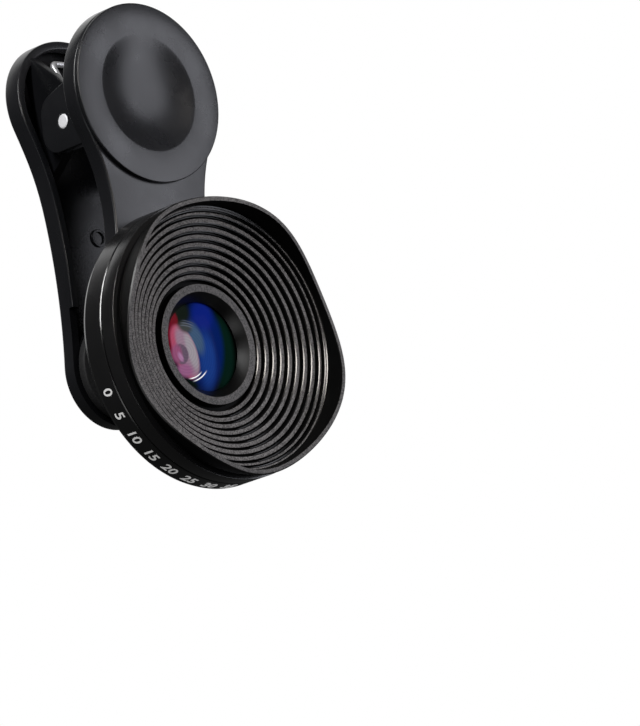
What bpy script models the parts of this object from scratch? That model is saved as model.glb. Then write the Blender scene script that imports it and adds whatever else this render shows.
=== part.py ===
"""Clip-on lens for a phone: a sprung two-arm clip with a wide, petal-hooded lens screwed into its front ring.

Frame: +X across the clip, +Z up along its arms towards the finger ends, and the lens looks along -Y.
The origin is where the lens axis crosses the face of the front jaw pad, the plane the phone lies against.
The jaws stand open by the thickness of a phone.
"""

from math import atan2, cos, hypot, pi, radians, sin, sqrt, tan

import bmesh
import bpy

MM = 0.001

# Clearance between pieces that seat on or in each other, and the running clearance of the hinge.
SEAT = 0.25 * MM
RUNNING = 0.08 * MM

# The gap between the jaws.
PHONE_THICKNESS = 7.6 * MM

# Front arm: a flat plate with a threaded ring below, a waist, and a round finger end above.
FRONT_PAD_THICKNESS = 0.75 * MM
FRONT_ARM_THICKNESS = 2.5 * MM
FRONT_RING_RADIUS = 13.3 * MM
FRONT_RING_RAISE = 0.4 * MM
FRONT_RING_STEP = 0.3 * MM
FRONT_FINGER_RADIUS = 12.5 * MM
FRONT_FINGER_HEIGHT = 36.3 * MM
FRONT_WAIST_HALF_WIDTH = 8.3 * MM
FRONT_EDGE_ROUND = 0.35 * MM
FRONT_POCKET_DEPTH = 1.2 * MM
FRONT_POCKET_WALL = 1.7 * MM
FRONT_POCKET_LOW = 15.4 * MM
FRONT_POCKET_HIGH = 26.5 * MM
FRONT_PAD_MARGIN = 0.4 * MM

# Finger cap: a dished disc set in a round recess of the front arm, with a shadow gap under its flange.
CAP_PROUD = 0.65 * MM
CAP_SHADOW_GAP = 0.25 * MM
CAP_RECESS_RADIUS = 11.3 * MM
CAP_RECESS_DEPTH = 1.4 * MM
CAP_DISH_RADIUS = 8.3 * MM
CAP_DISH_DEPTH = 1.25 * MM

# Rear arm: a shallow tray, bent back above the waist, that opens towards the front arm.
REAR_WALL = 1.2 * MM
REAR_FLOOR = 1.2 * MM
REAR_DEPTH = 3.0 * MM
REAR_JAW_RADIUS = 7.6 * MM
REAR_JAW_HEIGHT = 0.8 * MM
REAR_JAW_DEPTH = 2.2 * MM
REAR_LEDGE_ABOVE_JAW = 0.9 * MM
REAR_FINGER_RADIUS = 10.7 * MM
REAR_FINGER_HEIGHT = 37.3 * MM
REAR_WAIST_HALF_WIDTH = 7.15 * MM
REAR_BEND_HEIGHT = 27.0 * MM
REAR_BEND_SOFTNESS = 4.0 * MM
REAR_BEND = radians(9.0)
REAR_BACK_ROUND = 0.5 * MM
REAR_RIM_ROUND = 0.2 * MM
REAR_DISH_RADIUS = 6.6 * MM
REAR_DISH_DEPTH = 0.5 * MM
REAR_PAD_THICKNESS = 1.25 * MM
REAR_PAD_INSET = 0.6 * MM
REAR_PAD_TOP_FLAT = 5.0 * MM

# Hinge: a steel pin through two outer lugs of the front arm and two inner lugs of the rear arm.
PIN_RADIUS = 1.0 * MM
PIN_BEHIND_FACE = 3.9 * MM
PIN_HEIGHT = 33.8 * MM
LUG_THICKNESS = 1.6 * MM
LUG_OUTER_FACE = 8.9 * MM
LUG_SIDE_CLEARANCE = 0.4 * MM
FRONT_LUG_REACH = 4.3 * MM
FRONT_LUG_DROP = 4.0 * MM
FRONT_LUG_CORNER = 3.0 * MM
FRONT_LUG_TOP = 1.4 * MM
FRONT_LUG_ROOT_TOP = 6.6 * MM
REAR_LUG_ROUND = 3.1 * MM
REAR_LUG_ROOT_DROP = 7.0 * MM
REAR_LUG_SHOULDER = (3.0 * MM, 7.5 * MM)
REAR_LUG_APEX_RISE = 11.6 * MM
LUG_ROOT_SINK = 0.5 * MM

# Torsion spring: two coils on the pin, an outer leg at each side for the front arm, a bar between for the rear.
WIRE_RADIUS = 0.4 * MM
COIL_RADIUS = 1.95 * MM
COIL_PITCH = 0.95 * MM
COIL_TURNS = 2
COIL_OUTER_X = 4.45 * MM
SPRING_FRONT_LEG = 8.6 * MM
SPRING_REAR_LEG = 11.0 * MM
SPRING_BAR_BEND = 0.8 * MM
COIL_STEPS = 12
LEG_BEND_STEPS = 4

# Lens: heights along its axis are counted forwards from the back plane of the rear barrel.
LENS_STANDOFF = 2.3 * MM
BARREL_RADIUS = 19.0 * MM
BARREL_WALL = 1.55 * MM
REAR_BARREL_LENGTH = 3.6 * MM
REAR_BARREL_FLOOR = 0.8 * MM
BARREL_GROOVE = 0.25 * MM
FRONT_BARREL_TOP = 6.1 * MM
BARREL_BACK_CHAMFER = 0.7 * MM
BARREL_CHAMFER = 0.25 * MM
BARREL_SPIGOT = 1.3 * MM
BARREL_LEDGE_DEPTH = 1.7 * MM
BARREL_LEDGE = 1.4 * MM
BARREL_SPACER_WALL = 1.2 * MM

THREAD_RADIUS = 8.35 * MM
THREAD_LENGTH = 2.95 * MM
THREAD_CHAMFER = 0.3 * MM
NECK_RADIUS = 12.35 * MM
FLANGE_THICKNESS = 0.7 * MM

# Petal hood: a funnel of stepped ribs inside, four petals along its rim.
HOOD_RIM_HEIGHT = 8.9 * MM
HOOD_PETAL_HEIGHT = 0.95 * MM
HOOD_PETALS = 4
HOOD_PETAL_TURN = radians(-24.0)
HOOD_RIM_INSET = 0.3 * MM
HOOD_RIM_WALL = 0.7 * MM
HOOD_NECK_INSET = 0.9 * MM
HOOD_NECK_HEIGHT = 0.5 * MM
HOOD_SPIGOT_DEPTH = 1.45 * MM
HOOD_BACK_STEP = 1.5 * MM
HOOD_BACK_INNER = 9.7 * MM
RIB_COUNT = 9
RIB_INNER_RADIUS = 8.95 * MM
RIB_OUTER_INSET = 1.185 * MM
RIB_RISE = 0.442 * MM
RIB_FIRST_HEIGHT = 3.0 * MM
RIB_GROOVE = 0.25 * MM
HOOD_INNER_THICKNESS = 0.9 * MM

# Optics: a cell with its bezel and glass in front, two more glasses behind it in the thread.
CELL_RADIUS = 8.3 * MM
CELL_BOTTOM = -1.2 * MM
CELL_TOP = 1.8 * MM
CELL_LIP = 0.6 * MM
CELL_LIP_RADIUS = 5.2 * MM
BEZEL_TOP = 3.4 * MM
BEZEL_OPENING = 7.2 * MM
BEZEL_THROAT = 6.05 * MM
FRONT_GLASS_RADIUS = 6.2 * MM
FRONT_GLASS_EDGE = 1.4 * MM
FRONT_GLASS_DOME = 0.75 * MM
FRONT_GLASS_HOLLOW = 0.5 * MM
SPACER_WALL = 0.8 * MM
REAR_GLASS_RADIUS = 5.5 * MM
MIDDLE_GLASS_EDGE = 0.8 * MM
REAR_GLASS_EDGE = 0.9 * MM
REAR_SPACER_LENGTH = 0.4 * MM
REAR_GLASS_CURVE = 0.3 * MM
RETAINER_LENGTH = 0.55 * MM
RETAINER_OPENING = 4.2 * MM

# How finely round shapes are divided.
BARREL_STEPS = 48
SMALL_STEPS = 36
GLASS_STEPS = 22
BORE_STEPS = 18
ARC_STEPS = 12
WAIST_STEPS = 8
DOME_STEPS = 4
DISH_STEPS = 6

# Planes and points worked out from the sizes above.
FRONT_ARM_BACK = -(FRONT_PAD_THICKNESS + SEAT)
FRONT_ARM_FACE = FRONT_ARM_BACK - FRONT_ARM_THICKNESS
RING_FACE = FRONT_ARM_FACE - FRONT_RING_RAISE
BARREL_BACK = RING_FACE - LENS_STANDOFF
REAR_BACK = PHONE_THICKNESS + REAR_PAD_THICKNESS + SEAT + REAR_JAW_DEPTH
PIN_Y = PIN_BEHIND_FACE
REAR_LUG_OUTER_FACE = LUG_OUTER_FACE - LUG_THICKNESS - LUG_SIDE_CLEARANCE
RING_BORE = THREAD_RADIUS + SEAT
BARREL_BORE = BARREL_RADIUS - BARREL_WALL
SHOULDER = SEAT - LENS_STANDOFF
THREAD_END = SHOULDER - THREAD_LENGTH
FLANGE_BOTTOM = REAR_BARREL_FLOOR + SEAT
FLANGE_TOP = FLANGE_BOTTOM + FLANGE_THICKNESS
FLANGE_RADIUS = BARREL_BORE - SEAT
HOOD_RIM_RADIUS = BARREL_RADIUS - HOOD_RIM_INSET
HOOD_NECK_RADIUS = BARREL_RADIUS - HOOD_NECK_INSET
RIB_PITCH = (BARREL_RADIUS - RIB_OUTER_INSET - RIB_INNER_RADIUS) / RIB_COUNT
FRONT_BARREL_BOTTOM = REAR_BARREL_LENGTH + BARREL_GROOVE
REAR_BORE = REAR_GLASS_RADIUS + SEAT
CELL_BORE = FRONT_GLASS_RADIUS + SEAT


def clear_scene():
    for obj in list(bpy.data.objects):
        bpy.data.objects.remove(obj, do_unlink=True)


def make_material(name, colour, roughness, metallic=0.0, transmission=0.0):
    material = bpy.data.materials.new(name)
    material.use_nodes = True
    shader = material.node_tree.nodes["Principled BSDF"]
    shader.inputs["Base Color"].default_value = (*colour, 1.0)
    shader.inputs["Roughness"].default_value = roughness
    shader.inputs["Metallic"].default_value = metallic
    shader.inputs["Transmission Weight"].default_value = transmission
    return material


def make_object(name, bm, material=None, parent=None):
    """Turns a bmesh into a shaded object, with its faces pointing out."""
    bmesh.ops.remove_doubles(bm, verts=bm.verts, dist=1e-7)
    bmesh.ops.recalc_face_normals(bm, faces=bm.faces)
    mesh = bpy.data.meshes.new(name)
    bm.to_mesh(mesh)
    bm.free()
    mesh.shade_smooth()
    mesh.set_sharp_from_angle(angle=radians(28.0))
    obj = bpy.data.objects.new(name, mesh)
    bpy.context.scene.collection.objects.link(obj)
    obj.parent = parent
    if material:
        mesh.materials.append(material)
    return obj


def make_empty(name, location, rotation=(0.0, 0.0, 0.0)):
    empty = bpy.data.objects.new(name, None)
    empty.location = location
    empty.rotation_euler = rotation
    bpy.context.scene.collection.objects.link(empty)
    return empty


def apply_tool(target, tool, operation):
    """Cuts a helper solid from the target, or joins it on, and keeps the helper out of the render."""
    tool.hide_render = True
    tool.display_type = "WIRE"
    modifier = target.modifiers.new(f"{operation.lower()}_{tool.name}", "BOOLEAN")
    modifier.operation = operation
    modifier.solver = "EXACT"
    modifier.object = tool


def chamfered(corners):
    """Points of a section whose corners are (radius, height) or (radius, height, chamfer)."""
    points = []
    for index, corner in enumerate(corners):
        if len(corner) == 2:
            points.append(corner)
            continue
        here = corner[:2]
        for other in (corners[index - 1][:2], corners[(index + 1) % len(corners)][:2]):
            reach = corner[2] / hypot(other[0] - here[0], other[1] - here[1])
            points.append(tuple(a + (b - a) * reach for a, b in zip(here, other)))
    return points


def turned(name, section, steps, material=None, parent=None, shape=None):
    """Spins a section of (radius, height) points about local Z. shape moves the turned points if it is given."""
    bm = bmesh.new()
    verts = [bm.verts.new((radius, 0.0, height)) for radius, height in section]
    pairs = list(zip(verts, verts[1:]))
    if section[0][0] > 0 or section[-1][0] > 0:
        pairs.append((verts[-1], verts[0]))
    edges = [bm.edges.new(pair) for pair in pairs]
    bmesh.ops.spin(
        bm, geom=verts + edges, cent=(0, 0, 0), axis=(0, 0, 1), angle=2 * pi, steps=steps, use_merge=True
    )
    bmesh.ops.remove_doubles(bm, verts=bm.verts, dist=1e-7)
    if shape:
        for vert in bm.verts:
            vert.co = shape(vert.co)
    return make_object(name, bm, material, parent)


def cap_arc(radius, edge_height, rise, steps):
    """Points of a spherical cap from its axis out to its edge. A negative rise makes it hollow."""
    sphere = (radius**2 + rise**2) / (2 * abs(rise))
    side = 1 if rise > 0 else -1
    points = []
    for index in range(steps + 1):
        r = radius * index / steps
        points.append((r, edge_height + rise - side * (sphere - sqrt(sphere**2 - r**2))))
    return points


def along_y(centre_y, height):
    """An empty whose local Z looks along -Y, for pieces turned about a fore-and-aft axis."""
    return make_empty("turning_axis", (0.0, centre_y, height), (radians(90), 0.0, 0.0))


def extruded(name, outline, start, end, axis, material=None, parent=None):
    """A plate: a closed outline extruded from start to end. axis X takes (y, z) points, axis Y takes (x, z)."""
    bm = bmesh.new()
    if axis == "X":
        verts = [bm.verts.new((start, a, b)) for a, b in outline]
        step = (end - start, 0.0, 0.0)
    else:
        verts = [bm.verts.new((a, start, b)) for a, b in outline]
        step = (0.0, end - start, 0.0)
    face = bm.faces.new(verts)
    copied = bmesh.ops.extrude_face_region(bm, geom=[face])
    moved = [item for item in copied["geom"] if isinstance(item, bmesh.types.BMVert)]
    bmesh.ops.translate(bm, vec=step, verts=moved)
    return make_object(name, bm, material, parent)


def arc(centre, radius, start, end, steps):
    """Points on an arc in a plane, from one angle in radians to another."""
    angles = [start + (end - start) * index / steps for index in range(steps + 1)]
    return [(centre[0] + radius * cos(a), centre[1] + radius * sin(a)) for a in angles]


def waisted_half(low_height, low_radius, high_height, high_radius, waist):
    """Right half of an arm's outline, bottom to top: two circles joined by a hollow arc that just reaches
    the waist's half width and is tangent to both. Each point is (x, z, outward x, outward z)."""
    span = high_height - low_height
    base = (span**2 - high_radius**2 + low_radius**2) / (2 * span)
    lean = (low_radius - high_radius) / span
    linear = 2 * base * lean - 2 * (low_radius - waist)
    constant = base**2 - low_radius**2 + waist**2
    hollow = 2 * constant / (-linear + sqrt(linear**2 - 4 * lean**2 * constant))
    centre_x = waist + hollow
    centre_z = low_height + base + lean * hollow

    low_end = atan2(centre_z - low_height, centre_x)
    high_start = atan2(centre_z - high_height, centre_x)
    points = []
    for x, z in arc((0.0, low_height), low_radius, -pi / 2, low_end, ARC_STEPS):
        points.append((x, z, x / low_radius, (z - low_height) / low_radius))
    for x, z in arc((centre_x, centre_z), hollow, pi + low_end, pi + high_start, WAIST_STEPS)[1:-1]:
        points.append((x, z, (centre_x - x) / hollow, (centre_z - z) / hollow))
    for x, z in arc((0.0, high_height), high_radius, high_start, pi / 2, ARC_STEPS):
        points.append((x, z, x / high_radius, (z - high_height) / high_radius))
    points[0] = (0.0, low_height - low_radius, 0.0, -1.0)
    points[-1] = (0.0, high_height + high_radius, 0.0, 1.0)
    return points


def moulded(name, half, section, place, material=None, parent=None):
    """Carries a wall section round an outline and closes it with a sheet at each end of the section.

    section holds (inset from the outline, depth) pairs. place turns (x, depth, z) into a position, so that it
    can bend the whole arm. The sheets are strips from side to side, which stay flat when the arm bends."""
    bm = bmesh.new()
    loops = []
    top = len(half) - 1
    for inset, depth in section:
        right = [(x - nx * inset, z - nz * inset) for x, z, nx, nz in half]
        left = [(-x, z) for x, z in reversed(right[1:-1])]
        loops.append([bm.verts.new(place(x, depth, z)) for x, z in right + left])
    count = len(loops[0])
    for inner, outer in zip(loops, loops[1:]):
        for i in range(count):
            j = (i + 1) % count
            bm.faces.new((inner[i], inner[j], outer[j], outer[i]))
    for loop in (loops[0], loops[-1]):
        bm.faces.new((loop[0], loop[1], loop[-1]))
        for i in range(1, top - 1):
            bm.faces.new((loop[i], loop[i + 1], loop[count - i - 1], loop[count - i]))
        bm.faces.new((loop[top - 1], loop[top], loop[top + 1]))
    return make_object(name, bm, material, parent)


def box(name, low, high):
    bm = bmesh.new()
    bmesh.ops.create_cube(bm, size=1.0)
    for vert in bm.verts:
        vert.co = [(a + b) / 2 + (b - a) * c for a, b, c in zip(low, high, vert.co)]
    return make_object(name, bm)


def rear_bend(z):
    """How far back the rear arm has bent at a height: straight, a soft turn, then a steady slope."""
    above = z - REAR_BEND_HEIGHT
    if above <= -REAR_BEND_SOFTNESS:
        return 0.0
    if above >= REAR_BEND_SOFTNESS:
        return above * tan(REAR_BEND)
    return tan(REAR_BEND) * (above + REAR_BEND_SOFTNESS) ** 2 / (4 * REAR_BEND_SOFTNESS)


def pin_bore(name):
    """The hole that the hinge pin runs in, long enough to pass both arms' lugs."""
    axis = make_empty(f"{name}_axis", (0.0, PIN_Y, PIN_HEIGHT), (0.0, radians(90), 0.0))
    radius = PIN_RADIUS + RUNNING
    reach = LUG_OUTER_FACE + LUG_THICKNESS
    section = [(0.0, reach), (radius, reach), (radius, -reach), (0.0, -reach)]
    return turned(name, section, BORE_STEPS, parent=axis)


def front_lug_outline():
    """The front lug from the side: square to the arm below, rounded at its back corners, sloped above."""
    root = FRONT_ARM_BACK - LUG_ROOT_SINK
    inner_y = PIN_Y + FRONT_LUG_REACH - FRONT_LUG_CORNER
    low = (inner_y, PIN_HEIGHT - FRONT_LUG_DROP + FRONT_LUG_CORNER)
    high = (inner_y, PIN_HEIGHT + FRONT_LUG_TOP)
    points = [(root, PIN_HEIGHT - FRONT_LUG_DROP)]
    points += arc(low, FRONT_LUG_CORNER, -pi / 2, 0.0, 6)
    points += arc(high, FRONT_LUG_CORNER, 0.0, radians(62), 5)
    points.append((root, PIN_HEIGHT + FRONT_LUG_ROOT_TOP))
    return points


def rear_lug_outline():
    """The rear lug from the side: round about the pin, with a web up to the tray's rim near its top end."""
    low = PIN_HEIGHT - REAR_LUG_ROOT_DROP
    apex = PIN_HEIGHT + REAR_LUG_APEX_RISE
    floor = REAR_BACK - REAR_FLOOR + LUG_ROOT_SINK
    rim = REAR_BACK - REAR_DEPTH
    points = [(floor + rear_bend(low), low)]
    points += arc((PIN_Y, PIN_HEIGHT), REAR_LUG_ROUND, radians(300), radians(125), 12)
    points.append((PIN_Y + REAR_LUG_SHOULDER[0], PIN_HEIGHT + REAR_LUG_SHOULDER[1]))
    points.append((rim + LUG_ROOT_SINK + rear_bend(apex), apex))
    points.append((floor + rear_bend(apex), apex))
    points.append((floor + rear_bend(REAR_FINGER_HEIGHT), REAR_FINGER_HEIGHT))
    return points


def build_front_arm(plastic):
    half = waisted_half(
        0.0, FRONT_RING_RADIUS, FRONT_FINGER_HEIGHT, FRONT_FINGER_RADIUS, FRONT_WAIST_HALF_WIDTH
    )
    edge = FRONT_EDGE_ROUND
    section = [
        (edge, 0.0),
        (edge * 0.3, edge * 0.3),
        (0.0, edge),
        (0.0, FRONT_ARM_THICKNESS - edge * 0.6),
        (edge * 0.6, FRONT_ARM_THICKNESS),
    ]
    arm = moulded("front_arm", half, section, lambda x, depth, z: (x, FRONT_ARM_FACE + depth, z), plastic)

    face = along_y(FRONT_ARM_FACE, 0.0)
    boss_radius = FRONT_RING_RADIUS - FRONT_RING_STEP
    boss = turned(
        "ring_boss",
        chamfered([
            (boss_radius, FRONT_RING_RAISE, 0.15 * MM),
            (boss_radius, -FRONT_ARM_THICKNESS / 2),
            (RING_BORE - SEAT, -FRONT_ARM_THICKNESS / 2),
            (RING_BORE - SEAT, FRONT_RING_RAISE),
        ]),
        BARREL_STEPS,
        parent=face,
    )
    apply_tool(arm, boss, "UNION")
    for side in (-1, 1):
        lug = extruded(
            f"front_lug_{'left' if side < 0 else 'right'}",
            front_lug_outline(),
            side * (LUG_OUTER_FACE - LUG_THICKNESS),
            side * LUG_OUTER_FACE,
            "X",
        )
        apply_tool(arm, lug, "UNION")

    through = FRONT_ARM_THICKNESS + FRONT_RING_RAISE
    mouth = RING_BORE + THREAD_CHAMFER
    bore = turned(
        "ring_bore",
        [
            (0.0, 2 * through),
            (mouth + through, FRONT_RING_RAISE + through),
            (RING_BORE, FRONT_RING_RAISE - THREAD_CHAMFER),
            (RING_BORE, -2 * through),
            (0.0, -2 * through),
        ],
        BARREL_STEPS,
        parent=face,
    )
    apply_tool(arm, bore, "DIFFERENCE")

    finger = along_y(FRONT_ARM_FACE, FRONT_FINGER_HEIGHT)
    recess = turned(
        "cap_recess",
        [
            (0.0, FRONT_ARM_THICKNESS),
            (CAP_RECESS_RADIUS, FRONT_ARM_THICKNESS),
            (CAP_RECESS_RADIUS, -CAP_RECESS_DEPTH),
            (0.0, -CAP_RECESS_DEPTH),
        ],
        SMALL_STEPS,
        parent=finger,
    )
    apply_tool(arm, recess, "DIFFERENCE")

    inside = [(x - nx * FRONT_POCKET_WALL, z) for x, z, nx, nz in half]
    right = [point for point in inside if FRONT_POCKET_LOW <= point[1] <= FRONT_POCKET_HIGH]
    pocket = extruded(
        "waist_pocket",
        right + [(-x, z) for x, z in reversed(right)],
        FRONT_ARM_BACK - FRONT_POCKET_DEPTH,
        FRONT_ARM_BACK + FRONT_POCKET_DEPTH,
        "Y",
    )
    apply_tool(arm, pocket, "DIFFERENCE")
    apply_tool(arm, pin_bore("front_pin_bore"), "DIFFERENCE")


def build_finger_cap(plastic):
    brim = CAP_DISH_RADIUS
    dish = []
    for index in range(DISH_STEPS + 1):
        share = index / DISH_STEPS
        height = CAP_PROUD - CAP_DISH_DEPTH * (1 - share**2.2) ** 1.25
        dish.append((brim * share, height))
    flange = FRONT_FINGER_RADIUS
    spigot = CAP_RECESS_RADIUS - SEAT
    edge = 0.12 * MM
    section = dish + [
        (flange - edge, CAP_PROUD),
        (flange, CAP_PROUD - edge),
        (flange, CAP_SHADOW_GAP),
        (spigot, CAP_SHADOW_GAP),
        (spigot, SEAT - CAP_RECESS_DEPTH),
        (0.0, SEAT - CAP_RECESS_DEPTH),
    ]
    turned("front_finger_cap", section, BARREL_STEPS, plastic, along_y(FRONT_ARM_FACE, FRONT_FINGER_HEIGHT))


def build_front_pad(rubber):
    outer = FRONT_RING_RADIUS - FRONT_PAD_MARGIN
    inner = RING_BORE + FRONT_PAD_MARGIN
    edge = 0.15 * MM
    section = chamfered([
        (outer, FRONT_PAD_THICKNESS),
        (outer, 0.0, edge),
        (inner, 0.0, edge),
        (inner, FRONT_PAD_THICKNESS),
    ])
    turned("front_jaw_pad", section, BARREL_STEPS, rubber, along_y(0.0, 0.0))


def build_rear_arm(plastic):
    half = waisted_half(
        REAR_JAW_HEIGHT, REAR_JAW_RADIUS, REAR_FINGER_HEIGHT, REAR_FINGER_RADIUS, REAR_WAIST_HALF_WIDTH
    )
    back = REAR_BACK_ROUND
    rim = REAR_RIM_ROUND
    section = [
        (back, 0.0),
        (back * 0.3, back * 0.3),
        (0.0, back),
        (0.0, REAR_DEPTH - rim),
        (rim, REAR_DEPTH),
        (REAR_WALL - rim, REAR_DEPTH),
        (REAR_WALL, REAR_DEPTH - rim),
        (REAR_WALL, REAR_FLOOR),
    ]
    arm = moulded(
        "rear_arm", half, section, lambda x, depth, z: (x, REAR_BACK + rear_bend(z) - depth, z), plastic
    )

    seat_radius = REAR_JAW_RADIUS - REAR_WALL / 2
    seat = turned(
        "jaw_seat",
        [
            (0.0, REAR_JAW_DEPTH),
            (seat_radius, REAR_JAW_DEPTH),
            (seat_radius, REAR_FLOOR / 2),
            (0.0, REAR_FLOOR / 2),
        ],
        SMALL_STEPS,
        parent=along_y(REAR_BACK, REAR_JAW_HEIGHT),
    )
    apply_tool(arm, seat, "UNION")
    for side in (-1, 1):
        lug = extruded(
            f"rear_lug_{'left' if side < 0 else 'right'}",
            rear_lug_outline(),
            side * (REAR_LUG_OUTER_FACE - LUG_THICKNESS),
            side * REAR_LUG_OUTER_FACE,
            "X",
        )
        apply_tool(arm, lug, "UNION")

    ledge = REAR_JAW_HEIGHT + REAR_JAW_RADIUS + REAR_LEDGE_ABOVE_JAW
    clearing = box(
        "jaw_clearing",
        (-2 * REAR_JAW_RADIUS, REAR_BACK - 2 * REAR_DEPTH, REAR_JAW_HEIGHT - 2 * REAR_JAW_RADIUS),
        (2 * REAR_JAW_RADIUS, REAR_BACK - REAR_JAW_DEPTH, ledge),
    )
    apply_tool(arm, clearing, "DIFFERENCE")

    axis = along_y(REAR_BACK + rear_bend(REAR_FINGER_HEIGHT), REAR_FINGER_HEIGHT)
    axis.rotation_euler.x -= REAR_BEND
    bowl = cap_arc(REAR_DISH_RADIUS, 0.0, REAR_DISH_DEPTH, DOME_STEPS)
    below = -2 * REAR_DEPTH
    dish = turned("finger_dish", bowl + [(REAR_DISH_RADIUS, below), (0.0, below)], SMALL_STEPS, parent=axis)
    apply_tool(arm, dish, "DIFFERENCE")
    apply_tool(arm, pin_bore("rear_pin_bore"), "DIFFERENCE")


def build_rear_pad(rubber):
    radius = REAR_JAW_RADIUS - REAR_PAD_INSET
    turn = atan2(REAR_PAD_TOP_FLAT, sqrt(radius**2 - REAR_PAD_TOP_FLAT**2))
    outline = arc((0.0, REAR_JAW_HEIGHT), radius, pi - turn, 2 * pi + turn, 2 * ARC_STEPS)
    pad = extruded("rear_jaw_pad", outline, PHONE_THICKNESS, PHONE_THICKNESS + REAR_PAD_THICKNESS, "Y", rubber)
    bevel = pad.modifiers.new("soft_edge", "BEVEL")
    bevel.width = 0.18 * MM
    bevel.segments = 1
    bevel.limit_method = "ANGLE"
    bevel.angle_limit = radians(50)


def build_pin(steel):
    axis = make_empty("hinge_axis", (0.0, PIN_Y, PIN_HEIGHT), (0.0, radians(90), 0.0))
    edge = 0.15 * MM
    section = [
        (0.0, LUG_OUTER_FACE),
        (PIN_RADIUS - edge, LUG_OUTER_FACE),
        (PIN_RADIUS, LUG_OUTER_FACE - edge),
        (PIN_RADIUS, edge - LUG_OUTER_FACE),
        (PIN_RADIUS - edge, -LUG_OUTER_FACE),
        (0.0, -LUG_OUTER_FACE),
    ]
    turned("hinge_pin", section, BORE_STEPS, steel, axis)


def tangent_angle(point, side):
    """The angle on the coil, seen along the pin, where a straight leg from the point touches it."""
    y, z = point[0] - PIN_Y, point[1] - PIN_HEIGHT
    return atan2(z, y) + side * (pi / 2 - atan2(COIL_RADIUS, sqrt(y**2 + z**2 - COIL_RADIUS**2)))


def spring_half():
    """One half of the spring's centre line: front leg's tip, coil, rear leg, and in to the middle of the bar."""
    front_tip = (FRONT_ARM_BACK + SEAT + WIRE_RADIUS, PIN_HEIGHT + SPRING_FRONT_LEG)
    rear_z = PIN_HEIGHT + SPRING_REAR_LEG
    rear_tip = (REAR_BACK + rear_bend(rear_z) - REAR_FLOOR - SEAT - 1.2 * WIRE_RADIUS, rear_z)
    start = tangent_angle(front_tip, 1)
    end = tangent_angle(rear_tip, -1)
    while end < start:
        end += 2 * pi
    end += 2 * pi * COIL_TURNS
    steps = round(COIL_STEPS * (end - start) / (2 * pi))
    points = [(COIL_OUTER_X, *front_tip)]
    for index in range(steps + 1):
        angle = start + (end - start) * index / steps
        x = COIL_OUTER_X - COIL_PITCH * (angle - start) / (2 * pi)
        points.append((x, PIN_Y + COIL_RADIUS * cos(angle), PIN_HEIGHT + COIL_RADIUS * sin(angle)))
    x, y, z = points[-1]
    length = hypot(rear_tip[0] - y, rear_tip[1] - z)
    up = ((rear_tip[0] - y) / length, (rear_tip[1] - z) / length)
    straight = length - SPRING_BAR_BEND
    for index in range(LEG_BEND_STEPS + 1):
        angle = pi / 2 * index / LEG_BEND_STEPS
        out = straight + SPRING_BAR_BEND * sin(angle)
        points.append((x - SPRING_BAR_BEND * (1 - cos(angle)), y + up[0] * out, z + up[1] * out))
    return points


def build_spring(steel):
    half = spring_half()
    route = half + [(-x, y, z) for x, y, z in reversed(half)]
    curve = bpy.data.curves.new("torsion_spring", "CURVE")
    curve.dimensions = "3D"
    curve.bevel_depth = WIRE_RADIUS
    curve.bevel_resolution = 2
    curve.use_fill_caps = True
    curve.materials.append(steel)
    spline = curve.splines.new("POLY")
    spline.points.add(len(route) - 1)
    for point, place in zip(spline.points, route):
        point.co = (place[0], place[1] - PIN_Y, place[2] - PIN_HEIGHT, 1.0)
    spring = bpy.data.objects.new("torsion_spring", curve)
    spring.location = (0.0, PIN_Y, PIN_HEIGHT)
    bpy.context.scene.collection.objects.link(spring)


def build_lens_mount(axis, metal):
    section = chamfered([
        (FLANGE_RADIUS, FLANGE_TOP),
        (FLANGE_RADIUS, FLANGE_BOTTOM),
        (NECK_RADIUS, FLANGE_BOTTOM),
        (NECK_RADIUS, SHOULDER),
        (THREAD_RADIUS, SHOULDER),
        (THREAD_RADIUS, THREAD_END, THREAD_CHAMFER),
        (REAR_BORE, THREAD_END),
        (REAR_BORE, CELL_BOTTOM - SEAT),
        (CELL_RADIUS + SEAT, CELL_BOTTOM - SEAT),
        (CELL_RADIUS + SEAT, FLANGE_TOP),
    ])
    turned("lens_mount", section, SMALL_STEPS, metal, axis)


def build_barrels(axis, metal):
    rear = chamfered([
        (BARREL_RADIUS, REAR_BARREL_LENGTH, BARREL_CHAMFER),
        (BARREL_RADIUS, 0.0, BARREL_BACK_CHAMFER),
        (NECK_RADIUS + SEAT, 0.0),
        (NECK_RADIUS + SEAT, REAR_BARREL_FLOOR),
        (BARREL_BORE, REAR_BARREL_FLOOR),
        (BARREL_BORE, REAR_BARREL_LENGTH),
    ])
    turned("rear_barrel", rear, BARREL_STEPS, metal, axis)

    spigot = BARREL_BORE - SEAT
    low = FLANGE_TOP + SEAT
    high = FRONT_BARREL_BOTTOM - BARREL_SPIGOT - SEAT
    clamp = [(spigot, high), (spigot, low), (spigot - BARREL_SPACER_WALL, low), (spigot - BARREL_SPACER_WALL, high)]
    turned("barrel_spacer", clamp, SMALL_STEPS, metal, axis)
    ledge = FRONT_BARREL_TOP - BARREL_LEDGE_DEPTH
    front = chamfered([
        (BARREL_RADIUS, FRONT_BARREL_TOP, BARREL_CHAMFER),
        (BARREL_RADIUS, FRONT_BARREL_BOTTOM, BARREL_CHAMFER),
        (spigot, FRONT_BARREL_BOTTOM),
        (spigot, FRONT_BARREL_BOTTOM - BARREL_SPIGOT),
        (BARREL_BORE - BARREL_LEDGE, FRONT_BARREL_BOTTOM - BARREL_SPIGOT),
        (BARREL_BORE - BARREL_LEDGE, ledge),
        (BARREL_BORE, ledge),
        (BARREL_BORE, FRONT_BARREL_TOP),
    ])
    turned("front_barrel", front, BARREL_STEPS, metal, axis)


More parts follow.
